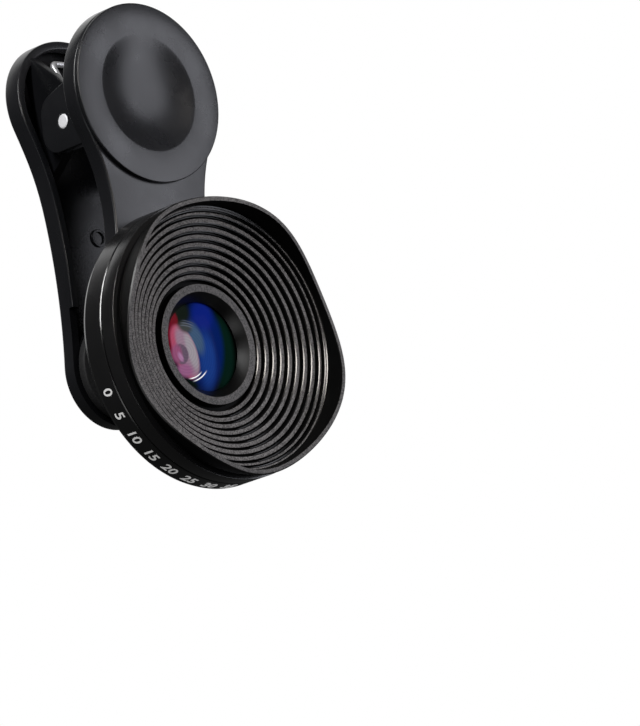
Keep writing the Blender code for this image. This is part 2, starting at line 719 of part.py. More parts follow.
def hood_section():
    """Half of the hood's section: rim, outer wall, spigot, the back of the funnel, then its stepped ribs."""
    flange = FRONT_BARREL_TOP + SEAT
    spigot = BARREL_BORE - SEAT
    spigot_end = FRONT_BARREL_TOP - HOOD_SPIGOT_DEPTH
    inner_back = RIB_FIRST_HEIGHT - HOOD_INNER_THICKNESS
    points = [
        (HOOD_RIM_RADIUS, HOOD_RIM_HEIGHT),
        (HOOD_NECK_RADIUS, flange + HOOD_NECK_HEIGHT),
        (HOOD_NECK_RADIUS, flange),
        (spigot, flange),
        (spigot, spigot_end),
        (spigot - HOOD_BACK_STEP, spigot_end),
        (HOOD_BACK_INNER, inner_back),
        (RIB_INNER_RADIUS, inner_back),
    ]
    for rib in range(RIB_COUNT):
        inner = RIB_INNER_RADIUS + RIB_PITCH * rib
        height = RIB_FIRST_HEIGHT + RIB_RISE * rib
        last = rib == RIB_COUNT - 1
        points.append((inner, height))
        points.append((inner + RIB_PITCH - (0.0 if last else RIB_GROOVE), height))
        if not last:
            points.append((inner + RIB_PITCH, height - RIB_GROOVE))
    points.append((HOOD_RIM_RADIUS - HOOD_RIM_WALL, HOOD_RIM_HEIGHT))
    return points


def petal_wave(point):
    """Lifts and drops the rim in smooth petals, and leaves everything else where it was turned."""
    if point.z < HOOD_RIM_HEIGHT - HOOD_PETAL_HEIGHT:
        return point
    around = HOOD_PETALS * (atan2(point.y, point.x) - HOOD_PETAL_TURN)
    return (point.x, point.y, point.z + HOOD_PETAL_HEIGHT * cos(around))


def build_hood(axis, plastic):
    turned("petal_hood", hood_section(), BARREL_STEPS, plastic, axis, shape=petal_wave)


def build_cell(axis, metal):
    lip = CELL_BOTTOM + CELL_LIP
    cell = [
        (CELL_RADIUS, CELL_TOP),
        (CELL_RADIUS, CELL_BOTTOM),
        (CELL_LIP_RADIUS, CELL_BOTTOM),
        (CELL_LIP_RADIUS, lip),
        (CELL_BORE, lip),
        (CELL_BORE, CELL_TOP),
    ]
    turned("lens_cell", cell, SMALL_STEPS, metal, axis)
    bezel = chamfered([
        (CELL_RADIUS, BEZEL_TOP, 0.12 * MM),
        (CELL_RADIUS, CELL_TOP + SEAT),
        (BEZEL_THROAT, CELL_TOP + SEAT),
        (BEZEL_OPENING, BEZEL_TOP),
    ])
    turned("front_bezel", bezel, SMALL_STEPS, metal, axis)


def build_front_optics(axis, glass, metal):
    edge_top = CELL_TOP
    edge_bottom = edge_top - FRONT_GLASS_EDGE
    rim = FRONT_GLASS_RADIUS
    front = cap_arc(rim, edge_top, FRONT_GLASS_DOME, DOME_STEPS)
    hollow = cap_arc(rim - SPACER_WALL, edge_bottom, FRONT_GLASS_HOLLOW, DOME_STEPS)
    turned("front_glass", front + [(rim, edge_bottom)] + hollow[::-1], GLASS_STEPS, glass, axis)
    low = CELL_BOTTOM + CELL_LIP + SEAT
    high = edge_bottom - SEAT
    spacer = [(rim, high), (rim, low), (rim - SPACER_WALL, low), (rim - SPACER_WALL, high)]
    turned("front_spacer", spacer, GLASS_STEPS, metal, axis)


def build_rear_optics(axis, glass, metal):
    """Stacks what sits in the thread's bore, from its open end forwards."""
    radius = REAR_GLASS_RADIUS
    low = THREAD_END + SEAT
    retainer = [
        (radius, low + RETAINER_LENGTH),
        (radius, low),
        (RETAINER_OPENING, low),
        (RETAINER_OPENING, low + RETAINER_LENGTH),
    ]
    turned("rear_retaining_ring", retainer, GLASS_STEPS, metal, axis)

    low += RETAINER_LENGTH + SEAT
    hollow = cap_arc(radius - SPACER_WALL, low, REAR_GLASS_CURVE, DOME_STEPS)
    dome = cap_arc(radius - SPACER_WALL, low + REAR_GLASS_EDGE, REAR_GLASS_CURVE, DOME_STEPS)
    rear = dome + [(radius, low + REAR_GLASS_EDGE), (radius, low)] + hollow[::-1]
    turned("rear_glass", rear, GLASS_STEPS, glass, axis)

    low += REAR_GLASS_EDGE + SEAT
    high = low + REAR_SPACER_LENGTH
    spacer = [(radius, high), (radius, low), (radius - SPACER_WALL, low), (radius - SPACER_WALL, high)]
    turned("rear_spacer", spacer, GLASS_STEPS, metal, axis)

    low = high + SEAT
    high = low + MIDDLE_GLASS_EDGE
    hollow = cap_arc(radius - SPACER_WALL, high, -REAR_GLASS_CURVE, DOME_STEPS)
    middle = hollow + [(radius, high), (radius, low), (0.0, low)]
    turned("middle_glass", middle, GLASS_STEPS, glass, axis)


def main():
    clear_scene()
    matte_plastic = make_material("matte_plastic", (0.035, 0.036, 0.04), 0.55)
    hood_plastic = make_material("hood_plastic", (0.03, 0.029, 0.028), 0.5)
    rubber = make_material("rubber", (0.02, 0.02, 0.021), 0.8)
    steel = make_material("steel", (0.75, 0.76, 0.78), 0.2, metallic=1.0)
    black_metal = make_material("black_metal", (0.02, 0.02, 0.021), 0.35, metallic=0.6)
    glass = make_material("coated_glass", (0.55, 0.6, 0.9), 0.03, transmission=1.0)

    build_front_arm(matte_plastic)
    build_finger_cap(matte_plastic)
    build_front_pad(rubber)
    build_rear_arm(matte_plastic)
    build_rear_pad(rubber)
    build_pin(steel)
    build_spring(steel)

    lens_axis = along_y(BARREL_BACK, 0.0)
    build_lens_mount(lens_axis, black_metal)
    build_barrels(lens_axis, black_metal)
    build_hood(lens_axis, hood_plastic)
    build_cell(lens_axis, black_metal)
    build_front_optics(lens_axis, glass, black_metal)
    build_rear_optics(lens_axis, glass, black_metal)


main()
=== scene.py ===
"""Finishes for a clip-on phone lens: fine surfaces, materials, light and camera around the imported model.

Frame, in metres: +X across the clip, +Z up its arms, and the lens looks along -Y. The origin is where the lens
axis crosses the face of the front jaw pad. Sizes below are in millimetres unless a unit is given.
"""

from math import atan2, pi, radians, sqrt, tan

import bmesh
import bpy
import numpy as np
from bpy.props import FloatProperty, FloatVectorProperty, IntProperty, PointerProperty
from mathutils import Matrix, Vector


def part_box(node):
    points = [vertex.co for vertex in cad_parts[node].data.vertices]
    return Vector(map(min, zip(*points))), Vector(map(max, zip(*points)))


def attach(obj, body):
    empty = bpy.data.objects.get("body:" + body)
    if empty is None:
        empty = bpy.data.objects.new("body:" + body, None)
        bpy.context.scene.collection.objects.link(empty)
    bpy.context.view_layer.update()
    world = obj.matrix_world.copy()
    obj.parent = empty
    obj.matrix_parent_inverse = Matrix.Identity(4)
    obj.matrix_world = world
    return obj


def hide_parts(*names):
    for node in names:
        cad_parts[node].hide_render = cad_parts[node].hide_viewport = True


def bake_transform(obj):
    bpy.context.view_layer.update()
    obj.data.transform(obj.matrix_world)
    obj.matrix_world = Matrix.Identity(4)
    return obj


bl_info = {
    "name": "Clip-on Phone Lens",
    "version": (1, 0, 0),
    "blender": (4, 5, 0),
    "location": "View3D > Sidebar > Phone Lens",
    "description": "Adds the fine surfaces and finishes of a clip-on phone lens to its packed model",
    "category": "Add Mesh",
}

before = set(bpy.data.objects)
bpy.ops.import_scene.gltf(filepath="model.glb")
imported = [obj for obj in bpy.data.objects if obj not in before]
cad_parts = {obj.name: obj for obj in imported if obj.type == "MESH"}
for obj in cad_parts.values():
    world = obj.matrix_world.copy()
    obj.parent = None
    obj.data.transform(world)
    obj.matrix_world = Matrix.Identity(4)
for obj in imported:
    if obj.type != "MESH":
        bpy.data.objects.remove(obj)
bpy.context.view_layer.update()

MM = 0.001
# Faces that meet at more than SHARP keep a hard edge, a bevel takes edges over SOFTEST_RIM, and points closer
# than MERGE, in metres, become one.
SHARP, SOFTEST_RIM = radians(32), radians(50)
MERGE = 2e-7


def span(node, axis):
    """The lowest and highest coordinate of a node along an axis, in millimetres."""
    low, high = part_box(node)
    return low[axis] / MM, high[axis] / MM


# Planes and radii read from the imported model.
PIN_Y, PIN_Z = (np.mean(span("hinge_pin", axis)) for axis in (1, 2))
PIN_R = (span("hinge_pin", 2)[1] - span("hinge_pin", 2)[0]) / 2
PIN_END = span("hinge_pin", 0)[1]
RING_FACE = span("front_arm", 1)[0]
CAP_FACE = span("front_finger_cap", 1)[0]
FRONT_PAD_BACK = span("front_jaw_pad", 1)[1] - span("front_jaw_pad", 1)[0]
REAR_PAD_FACE, REAR_PAD_BACK = span("rear_jaw_pad", 1)
BARREL_BACK = span("rear_barrel", 1)[1]
BARREL_R = span("rear_barrel", 0)[1]

# Clip sizes that a box can't give.
FRONT_ARM_BACK = -1.0
FRONT_ARM_FACE = -3.5
FINGER_R, FINGER_Z = 12.5, 36.3
RING_R, FRONT_WAIST = 13.3, 8.3
RING_BORE = 8.6
LUG_THICK, LUG_OUT, REAR_LUG_OUT = 1.6, 8.9, 6.9
REAR_BACK = 11.3
REAR_DEPTH, REAR_FLOOR, REAR_WALL = 3.0, 1.2, 1.2
JAW_R, JAW_Z, JAW_DEPTH = 7.6, 0.8, 2.2
REAR_R, REAR_Z, REAR_WAIST = 10.7, 37.3, 7.15
BEND_Z, BEND_SOFT, BEND = 27.0, 4.0, radians(9.0)

# The screw thread, the spring's wire and coils, and the camera's own axes and place in metres.
THREAD_PITCH = 0.75
THREAD_R, THREAD_START, THREAD_END = 8.35, -2.05, -4.75
WIRE_R, COIL_R, COIL_END, COIL_PITCH = 0.4, 1.95, 4.45, 0.95
CAMERA_RIGHT, CAMERA_UP = (0.7299, -0.6716, -0.1274), (-0.0526, -0.2411, 0.9691)
CAMERA_BACK = (-0.6815, -0.7006, -0.2113)
CAMERA_PLACE = (-0.5304, -0.5753, -0.1721)


# ---------------------------------------------------------------- sizes and colours that a user would change

def colour_setting(name, description, *default):
    return FloatVectorProperty(name=name, description=description, subtype="COLOR", size=3, default=default,
                               min=0.0, max=1.0)


def length_setting(name, description, default, low, high):
    """A length whose default and limits are given here in millimetres."""
    return FloatProperty(name=name, description=description, subtype="DISTANCE", unit="LENGTH",
                         default=default * MM, min=low * MM, max=high * MM)


def level_setting(name, description, default, **limits):
    return FloatProperty(name=name, description=description, default=default, min=0.0, **limits)


def number_setting(name, description, default, low, high):
    return IntProperty(name=name, description=description, default=default, min=low, max=high)


class ClipSettings(bpy.types.PropertyGroup):
    plastic: colour_setting("Clip plastic", "Colour of the moulded arms and finger cap", 0.0102, 0.0106, 0.0124)
    rubber: colour_setting("Jaw pads", "Colour of the soft jaw pads", 0.016, 0.016, 0.017)
    steel: colour_setting("Pin and spring", "Colour of the steel pin and spring", 0.72, 0.72, 0.74)
    edge_round: length_setting("Edge rounding", "Rounding of the moulded arms' outer edges", 0.35, 0.1, 0.6)
    grain: level_setting("Mould grain", "Strength of the fine grain on moulded faces", 0.35, subtype="FACTOR", max=1.0)
    wire_turn_steps: number_setting("Coil steps", "Points on one turn of the spring", 36, 12, 96)


class LensSettings(bpy.types.PropertyGroup):
    barrel: colour_setting("Barrel rings", "Colour of the rear and front barrel rings", 0.012, 0.012, 0.0125)
    tread: colour_setting("Frosted treads", "Colour of the frosted faces of the stepped ribs", 0.105, 0.102, 0.104)
    hood: colour_setting("Hood walls", "Colour of the hood's walls, risers and rim", 0.0026, 0.0026, 0.0026)
    paint: colour_setting("Scale marks", "Colour of the painted scale on the rear ring", 0.92, 0.92, 0.91)
    petal_height: length_setting("Petal height", "How far the hood's rim rises and falls about its mean height",
                                 0.95, 0.0, 1.5)
    petal_turn: FloatProperty(
        name="Petal turn", description="Where the first petal stands, turned about the lens axis",
        subtype="ANGLE", unit="ROTATION", default=radians(66.0), min=-pi, max=pi,
    )
    round_steps: number_setting("Steps round", "Divisions round each turned piece", 240, 48, 480)
    mark_count: number_setting("Scale numbers", "How many numbers the rear ring carries", 8, 2, 12)


class StageSettings(bpy.types.PropertyGroup):
    floor: colour_setting("Floor", "Colour of the floor", 0.8, 0.8, 0.8)
    key: level_setting("Key light", "Brightness of the large soft light at the right", 3.0)
    left: level_setting("Left light", "Brightness of the strip light at the left", 40.0)
    low: level_setting("Low light", "Brightness of the weak light below at the left", 2.0)
    front: level_setting("Front light", "Brightness of the small warm light in front", 60.0)
    surround: level_setting("Surround", "Even light that the room throws on the object", 0.09, max=1.0)
    reflected: level_setting("Reflected room", "Brightness of the room in the object's reflections", 0.04, max=1.0)
    focal_length: FloatProperty(
        name="Focal length", description="Focal length of the camera", subtype="DISTANCE_CAMERA",
        default=337.5, min=10.0, max=1000.0,
    )


# ---------------------------------------------------------------- surfaces

def mesh_object(name, points, faces, sharp=SHARP):
    """A closed mesh from arrays of points in millimetres and faces, shaded smooth, at the origin."""
    mesh = bpy.data.meshes.new(name)
    mesh.from_pydata((np.asarray(points, float) * MM).tolist(), [], [list(face) for face in faces])
    obj = bpy.data.objects.new(name, mesh)
    bpy.context.scene.collection.objects.link(obj)
    tidy_mesh(mesh, sharp)
    return obj


def tidy_mesh(mesh, sharp=SHARP):
    """Merges doubles, turns the faces outwards and shades the mesh smooth up to an angle."""
    bm = bmesh.new()
    bm.from_mesh(mesh)
    bmesh.ops.remove_doubles(bm, verts=bm.verts, dist=MERGE)
    bmesh.ops.recalc_face_normals(bm, faces=bm.faces)
    bm.to_mesh(mesh)
    bm.free()
    mesh.shade_smooth()
    mesh.set_sharp_from_angle(angle=sharp)


def grid_faces(rows, columns, wrap_rows=False, wrap_columns=False):
    """Quads of a grid of rows x columns points, stored row by row, closed on itself where it wraps."""
    i = np.arange(rows if wrap_rows else rows - 1)
    j = np.arange(columns if wrap_columns else columns - 1)
    i, j = (index.ravel() for index in np.meshgrid(i, j, indexing="ij"))
    down, across = (i + 1) % rows, (j + 1) % columns
    return np.stack([i * columns + j, i * columns + across, down * columns + across, down * columns + j], 1)


def arc(centre, radius, start, end, steps):
    """Points centre + radius (cos a, sin a), with a from start to end."""
    angle = np.linspace(start, end, steps + 1)
    return np.stack([centre[0] + radius * np.cos(angle), centre[1] + radius * np.sin(angle)], 1)


def quarter(radius, steps=7):
    """A quarter round from (radius, 0) to (0, radius): radius (1 - sin a, 1 - cos a)."""
    turn = np.linspace(0, pi / 2, steps)
    return radius * np.stack([1 - np.sin(turn), 1 - np.cos(turn)], 1)


def cap_curve(radius, height, steps):
    """A shallow spherical cap's height over radii from 0 to radius: sqrt(R^2 - r^2) - R + height, with
    R = (radius^2 + height^2) / (2 height)."""
    r = np.linspace(0, radius, steps)
    sphere = (radius**2 + height**2) / (2 * height)
    return r, height - sphere + np.sqrt(sphere**2 - r**2)


def rounded(corners, steps=4):
    """A closed section of (a, b) or (a, b, radius) corners. A corner with a radius becomes an arc that is
    tangent to both of its sides: its centre lies radius / sin(half the corner's angle) along the bisector."""
    out = []
    for index, corner in enumerate(corners):
        here = np.array(corner[:2], float)
        if len(corner) == 2:
            out.append(here[None])
            continue
        radius = corner[2]
        back, ahead = (np.array(corners[(index + step) % len(corners)][:2]) - here for step in (-1, 1))
        back, ahead = back / np.hypot(*back), ahead / np.hypot(*ahead)
        half = np.arccos(np.clip(back @ ahead, -1, 1)) / 2
        centre = here + (back + ahead) / np.hypot(*(back + ahead)) * radius / np.sin(half)
        start, end = (np.arctan2(*(here + side * radius / np.tan(half) - centre)[::-1]) for side in (back, ahead))
        sweep = (end - start + pi) % (2 * pi) - pi
        out.append(arc(centre, radius, start, start + sweep, steps))
    return np.concatenate(out)


def turned(name, section, steps, centre=(0.0, 0.0), y=0.0, change=None):
    """A solid of revolution about an axis along Y. A section point (r, h) at angle t is at
    x = r sin t, z = -r cos t, y = y0 - h. change(r, h, t) may give new (r, h) arrays."""
    r, h = np.asarray(section, float).T
    t = np.linspace(0, 2 * pi, steps, endpoint=False)
    r, h, t = (np.broadcast_to(a, (len(r), steps)) for a in (r[:, None], h[:, None], t[None]))
    if change:
        r, h = change(r, h, t)
    points = np.stack([centre[0] + r * np.sin(t), y - h, centre[1] - r * np.cos(t)], -1).reshape(-1, 3)
    closed = min(section[0][0], section[-1][0]) > 0
    return mesh_object(name, points, grid_faces(len(section), steps, closed, True))


def waisted_outline(low_z, low_r, high_z, high_r, waist, steps=40):
    """An arm's outline, anticlockwise from the bottom: two circles joined at each side by a hollow arc that is
    tangent to both and reaches in to the waist. Rows are (x, z, outward x, outward z)."""
    length = high_z - low_z
    base = (length**2 - high_r**2 + low_r**2) / (2 * length)
    lean = (low_r - high_r) / length
    linear = 2 * base * lean - 2 * (low_r - waist)
    constant = base**2 - low_r**2 + waist**2
    hollow = 2 * constant / (-linear + sqrt(linear**2 - 4 * lean**2 * constant))
    x, z = waist + hollow, low_z + base + lean * hollow
    low_end, high_start = atan2(z - low_z, x), atan2(z - high_z, x)

    def piece(across, up, radius, start, end, count, turn=1):
        angle = np.linspace(start, end, count)
        out = np.stack([np.cos(angle), np.sin(angle)], 1)
        return np.hstack([(across, up) + radius * out, turn * out])

    right = np.concatenate([
        piece(0.0, low_z, low_r, -pi / 2, low_end, steps),
        piece(x, z, hollow, pi + low_end, pi + high_start, steps // 2, -1)[1:-1],
        piece(0.0, high_z, high_r, high_start, pi / 2, steps),
    ])
    right[[0, -1], 0] = 0.0
    left = right[-2:0:-1] * (-1, 1, -1, 1)
    return np.concatenate([right, left])


def moulded(name, outline, section, place):
    """A plate or tray: a wall section of (inset, depth) points carried round an outline, with a sheet of
    strips from side to side at each end of the section. place(x, depth, z) bends the whole."""
    section = np.asarray(section, float)
    count = len(outline)
    x = outline[:, 0] - outline[:, 2] * section[:, :1]
    z = outline[:, 1] - outline[:, 3] * section[:, :1]
    depth = np.broadcast_to(section[:, 1:], x.shape)
    points = np.stack(place(x, depth, z), -1).reshape(-1, 3)
    i = np.arange(1, count // 2 - 1)
    strips = np.stack([i, i + 1, count - i - 1, count - i], 1)
    faces = [*grid_faces(len(section), count, False, True)]
    for start in (0, (len(section) - 1) * count):
        faces += [start + strip for strip in strips]
        faces.append([start, start + 1, start + count - 1])
        faces.append([start + count // 2 - 1, start + count // 2, start + count // 2 + 1])
    return mesh_object(name, points, faces)


def prism(name, outline, start, end, axis, edge=0.0):
    """An outline carried straight from start to end along X or Y, with its two rims rounded by a bevel."""
    outline = np.asarray(outline, float)
    count = len(outline)
    ends = np.repeat([start, end], count)
    a, b = np.tile(outline, (2, 1)).T
    points = np.stack([ends, a, b] if axis == "X" else [a, ends, b], 1)
    faces = [*grid_faces(2, count, False, True), np.arange(count), count + np.arange(count)]
    obj = mesh_object(name, points, faces)
    if edge:
        bevel = obj.modifiers.new("rim", "BEVEL")
        bevel.width = edge * MM
        bevel.segments = 3
        bevel.limit_method = "ANGLE"
        bevel.angle_limit = SOFTEST_RIM
        settle(obj)
    return obj


def settle(obj):
    """Applies an object's modifiers to its mesh."""
    evaluated = obj.evaluated_get(bpy.context.evaluated_depsgraph_get())
    mesh = bpy.data.meshes.new_from_object(evaluated)
    old = obj.data
    obj.modifiers.clear()
    obj.data = mesh
    bpy.data.meshes.remove(old)


def shaped(target, tools):
    """Joins or cuts the target with each (operation, tool) in turn, and removes the tools."""
    for operation, tool in tools:
        modifier = target.modifiers.new(tool.name, "BOOLEAN")
        modifier.operation = operation
        modifier.solver = "EXACT"
        modifier.object = tool
    settle(target)
    for _, tool in tools:
        bpy.data.objects.remove(tool, do_unlink=True)
    target.data.name = target.name
    tidy_mesh(target.data)
    return target


def tube(name, path, radius, outward, sides=20):
    """A round wire along a path. Each ring stands across the path's direction, and starts from the given
    outward direction made square to it; the ends are closed by domed caps."""
    ahead = np.gradient(path, axis=0)
    ahead /= np.linalg.norm(ahead, axis=1)[:, None]
    side = np.cross(ahead, outward)
    side /= np.linalg.norm(side, axis=1)[:, None]
    up = np.cross(side, ahead)
    lift = np.linspace(0, pi / 2, 5)[:-1]
    shrink = np.concatenate([np.sin(lift), np.ones(len(path)), np.sin(lift[::-1])])
    shift = np.concatenate([-np.cos(lift), np.zeros(len(path)), np.cos(lift[::-1])]) * radius * 0.6
    index = np.clip(np.arange(len(shrink)) - len(lift), 0, len(path) - 1)
    angle = np.linspace(0, 2 * pi, sides, endpoint=False)
    ring = np.cos(angle)[None, :, None] * side[index, None] + np.sin(angle)[None, :, None] * up[index, None]
    centres = path[index] + ahead[index] * shift[:, None]
    points = centres[:, None] + ring * (radius * shrink)[:, None, None]
    return mesh_object(name, points.reshape(-1, 3), grid_faces(len(shrink), sides, False, True), radians(60))


# ---------------------------------------------------------------- materials

def new_group(name, outputs, **inputs):
    """A shader node group that takes coordinates and numbers, given with their defaults, and puts out numbers.
    Returns the group, what it is given and its results."""
    group = bpy.data.node_groups.new(name, "ShaderNodeTree")
    group.interface.new_socket("Vector", in_out="INPUT", socket_type="NodeSocketVector")
    for title, default in inputs.items():
        group.interface.new_socket(title, in_out="INPUT", socket_type="NodeSocketFloat").default_value = default
    for title in outputs:
        group.interface.new_socket(title, in_out="OUTPUT", socket_type="NodeSocketFloat")
    return group, group.nodes.new("NodeGroupInput").outputs, group.nodes.new("NodeGroupOutput").inputs


def feed(tree, socket, value):
    """Links an input to a value that is a socket, and sets it otherwise."""
    if isinstance(value, bpy.types.NodeSocket):
        tree.links.new(value, socket)
    else:
        socket.default_value = value


def add(tree, kind, settings=None, **inputs):
    """Adds a node, sets its own settings and feeds its inputs, given by name or as _ and a number."""
    node = tree.nodes.new(kind)
    for key, value in (settings or {}).items():
        setattr(node, key, value)
    for key, value in inputs.items():
        feed(tree, node.inputs[int(key[1:]) if key[0] == "_" else key.replace("_", " ")], value)
    return node


def maths(tree, operation, first, second=0.0, clamp=False):
    return add(tree, "ShaderNodeMath", {"operation": operation, "use_clamp": clamp}, _0=first, _1=second).outputs[0]


def times(tree, first, second):
    return maths(tree, "MULTIPLY", first, second)


def plus(tree, first, second, clamp=False):
    return maths(tree, "ADD", first, second, clamp)


def far(tree, x, z):
    """The distance sqrt(x^2 + z^2)."""
    return maths(tree, "SQRT", plus(tree, times(tree, x, x), times(tree, z, z)))


def blended(tree, factor, first, second, kind="MIX"):
    """first where factor is 0 and second where it is 1, as colours."""
    return add(tree, "ShaderNodeMix", {"data_type": "RGBA", "blend_type": kind}, _0=factor, _6=first,
               _7=second).outputs[2]


def ramp(tree, value, low, high, out_low=0.0, out_high=1.0, smooth=True):
    """Carries a value from low..high to out_low..out_high, clamped, with eased ends."""
    return add(tree, "ShaderNodeMapRange", {"interpolation_type": "SMOOTHSTEP" if smooth else "LINEAR"},
               Value=value, From_Min=low, From_Max=high, To_Min=out_low, To_Max=out_high).outputs["Result"]


def noise(tree, place, scale, detail, roughness=0.5, **settings):
    return add(tree, "ShaderNodeTexNoise", settings, Vector=place, Scale=scale, Detail=detail,
               Roughness=roughness).outputs[0]


def mould_grain():
    """Spark-eroded mould grain: pits of two sizes for the height, and slow patches for shade and gloss."""
    group, given, result = new_group("mould_grain", ["Height", "Patch", "Speck"], Size=1.0)
    place = given["Vector"]
    scale = maths(group, "DIVIDE", 5200.0, given["Size"])
    fine = noise(group, place, scale, 3.0, 0.6)
    pits = add(group, "ShaderNodeTexVoronoi", {"feature": "SMOOTH_F1"}, Vector=place, Scale=scale, Smoothness=0.6)
    slow = noise(group, place, 90.0, 4.0, 0.55)
    feed(group, result["Height"], plus(group, fine, times(group, pits.outputs[0], 0.6)))
    feed(group, result["Patch"], ramp(group, slow, 0.3, 0.7))
    feed(group, result["Speck"], ramp(group, fine, 0.35, 0.65))
    return group


def lathe_lines():
    """Fine turning lines round the lens axis: noise that depends only on the radius and the depth."""
    group, given, result = new_group("lathe_lines", ["Height", "Smudge"], Density=9000.0)
    x, y, z = add(group, "ShaderNodeSeparateXYZ", Vector=given["Vector"]).outputs
    flat = add(group, "ShaderNodeCombineXYZ", X=far(group, x, z), Y=y).outputs[0]
    feed(group, result["Height"], noise(group, flat, given["Density"], 2.0, noise_dimensions="2D"))
    feed(group, result["Smudge"], ramp(group, noise(group, given["Vector"], 140.0, 5.0), 0.35, 0.7))
    return group


def frost():
    """Frosted mottling of the treads: short light and dark flecks of two sizes."""
    group, given, result = new_group("frost", ["Fleck", "Height"])
    coarse = noise(group, given["Vector"], 2600.0, 2.0, 0.6)
    fine = noise(group, given["Vector"], 6400.0, 1.0, 0.6)
    both = plus(group, times(group, coarse, 0.3), times(group, fine, 0.7))
    feed(group, result["Fleck"], ramp(group, both, 0.38, 0.62))
    feed(group, result["Height"], both)
    return group


def soft_spot():
    """A soft-edged ellipse in the X-Z plane: 1 inside, 0 outside. Its distance from the centre is
    sqrt(((x - cx) / rx)^2 + ((z - cz) / rz)^2), and the edge runs over Soft about 1. Lean shears it sideways."""
    group, given, result = new_group("soft_spot", ["Mask", "Distance"], X=0.0, Z=0.0, Wide=1.0, High=1.0, Lean=0.0,
                                     Soft=0.2)
    parts = add(group, "ShaderNodeSeparateXYZ", Vector=given["Vector"]).outputs
    x, z = (maths(group, "SUBTRACT", times(group, parts[axis], 1 / MM), given[axis]) for axis in "XZ")
    x = maths(group, "SUBTRACT", x, times(group, z, given["Lean"]))
    distance = far(group, maths(group, "DIVIDE", x, given["Wide"]), maths(group, "DIVIDE", z, given["High"]))
    edge = maths(group, "DIVIDE", maths(group, "SUBTRACT", 1.0, distance), given["Soft"])
    feed(group, result["Mask"], ramp(group, plus(group, edge, 0.5, clamp=True), 0.0, 1.0))
    feed(group, result["Distance"], distance)
    return group


def object_place(tree):
    """The material's Object coordinates."""
    node = tree.nodes.get("object_place") or tree.nodes.new("ShaderNodeTexCoord")
    node.name = "object_place"
    return node.outputs["Object"]


def place_group(tree, make, **inputs):
    """Places a shared group, made the first time, in a material with its own values. Returns its outputs."""
    node = tree.nodes.new("ShaderNodeGroup")
    node.node_tree = bpy.data.node_groups.get(make.__name__) or make()
    for key, value in {"Vector": object_place(tree), **inputs}.items():
        feed(tree, node.inputs[key], value)
    return node.outputs


def new_material(name, roughness, **constants):
    """A material with one Principled shader and its constant values. Returns the material, its tree and the
    shader's inputs."""
    material = bpy.data.materials.new(name)
    material.use_nodes = True
    tree = material.node_tree
    shader = tree.nodes["Principled BSDF"].inputs
    for key, value in {"Roughness": roughness, **constants}.items():
        shader[key.replace("_", " ")].default_value = value
    return material, tree, shader


def relief(tree, shader, height, strength, distance):
    """Feeds the shader's normal from a height, whose full depth is given in millimetres."""
    bump = add(tree, "ShaderNodeBump", Height=height, Strength=strength, Distance=distance * MM)
    feed(tree, shader["Normal"], bump.outputs[0])


def rgba(colour, share=1.0):
    return (*[c * share for c in colour], 1.0)


def shaded(tree, shader, factor, colour, low, high):
    """Runs the base colour from low to high times a colour."""
    feed(tree, shader["Base Color"], blended(tree, factor, rgba(colour, low), rgba(colour, high)))


def clip_finish(settings, name="clip_finish", shine=0.5, share=1.0):
    """Spark-eroded black plastic. share scales its colour down, which paints shade."""
    material, tree, shader = new_material(name, 0.42, IOR=1.5, Specular_IOR_Level=shine)
    grain = place_group(tree, mould_grain)
    low, high, light = (rgba(settings.plastic, part * share) for part in (0.9, 1.12, 1.5))
    shade = blended(tree, grain["Patch"], low, high)
    feed(tree, shader["Base Color"], blended(tree, times(tree, grain["Speck"], 0.35), shade, light))
    feed(tree, shader["Roughness"], ramp(tree, grain["Patch"], 0.0, 1.0, 0.23, 0.32))
    relief(tree, shader, grain["Height"], settings.grain, 0.02)
    return material


def clip_painted_shade_finish(settings):
    """The rear arm's channel and inner lugs: painted shade, the clip plastic at 0.6 of its colour, with less shine."""
    return clip_finish(settings, "clip_painted_shade_finish", 0.2, 0.6)


def rubber_finish(settings):
    """Soft matte rubber with a coarse grain."""
    material, tree, shader = new_material("rubber_finish", 0.7, IOR=1.5)
    grain = place_group(tree, mould_grain, Size=1.6)
    shaded(tree, shader, grain["Speck"], settings.rubber, 0.8, 1.3)
    relief(tree, shader, grain["Height"], 0.5, 0.02)
    return material


def steel_finish(settings):
    """Bright drawn wire, with a faint glow added as painted light."""
    material, tree, shader = new_material("steel_finish", 0.5, Metallic=0.7, Emission_Color=rgba(settings.steel),
                                          Emission_Strength=0.07)
    drawn = noise(tree, object_place(tree), 1500.0, 4.0)
    shaded(tree, shader, drawn, settings.steel, 0.75, 1.1)
    feed(tree, shader["Roughness"], ramp(tree, drawn, 0.3, 0.7, 0.25, 0.45))
    relief(tree, shader, drawn, 0.15, 0.01)
    return material


def pin_finish(settings):
    """The pale, rough ends of the pin, brightened by a glow added as painted light."""
    material, tree, shader = new_material("pin_finish", 0.5, Metallic=0.3, Emission_Color=rgba(settings.steel),
                                          Emission_Strength=0.3)
    grain = place_group(tree, mould_grain)
    shaded(tree, shader, grain["Speck"], settings.steel, 1.15, 1.32)
    relief(tree, shader, grain["Height"], 0.3, 0.01)
    return material


def barrel_finish(settings):
    """Black anodised metal with fine turning lines."""
    material, tree, shader = new_material("barrel_finish", 0.25, IOR=1.55)
    lathe = place_group(tree, lathe_lines)
    shaded(tree, shader, lathe["Smudge"], settings.barrel, 0.9, 1.2)
    feed(tree, shader["Roughness"], ramp(tree, lathe["Smudge"], 0.0, 1.0, 0.20, 0.27))
    relief(tree, shader, lathe["Height"], 0.12, 0.002)
    return material


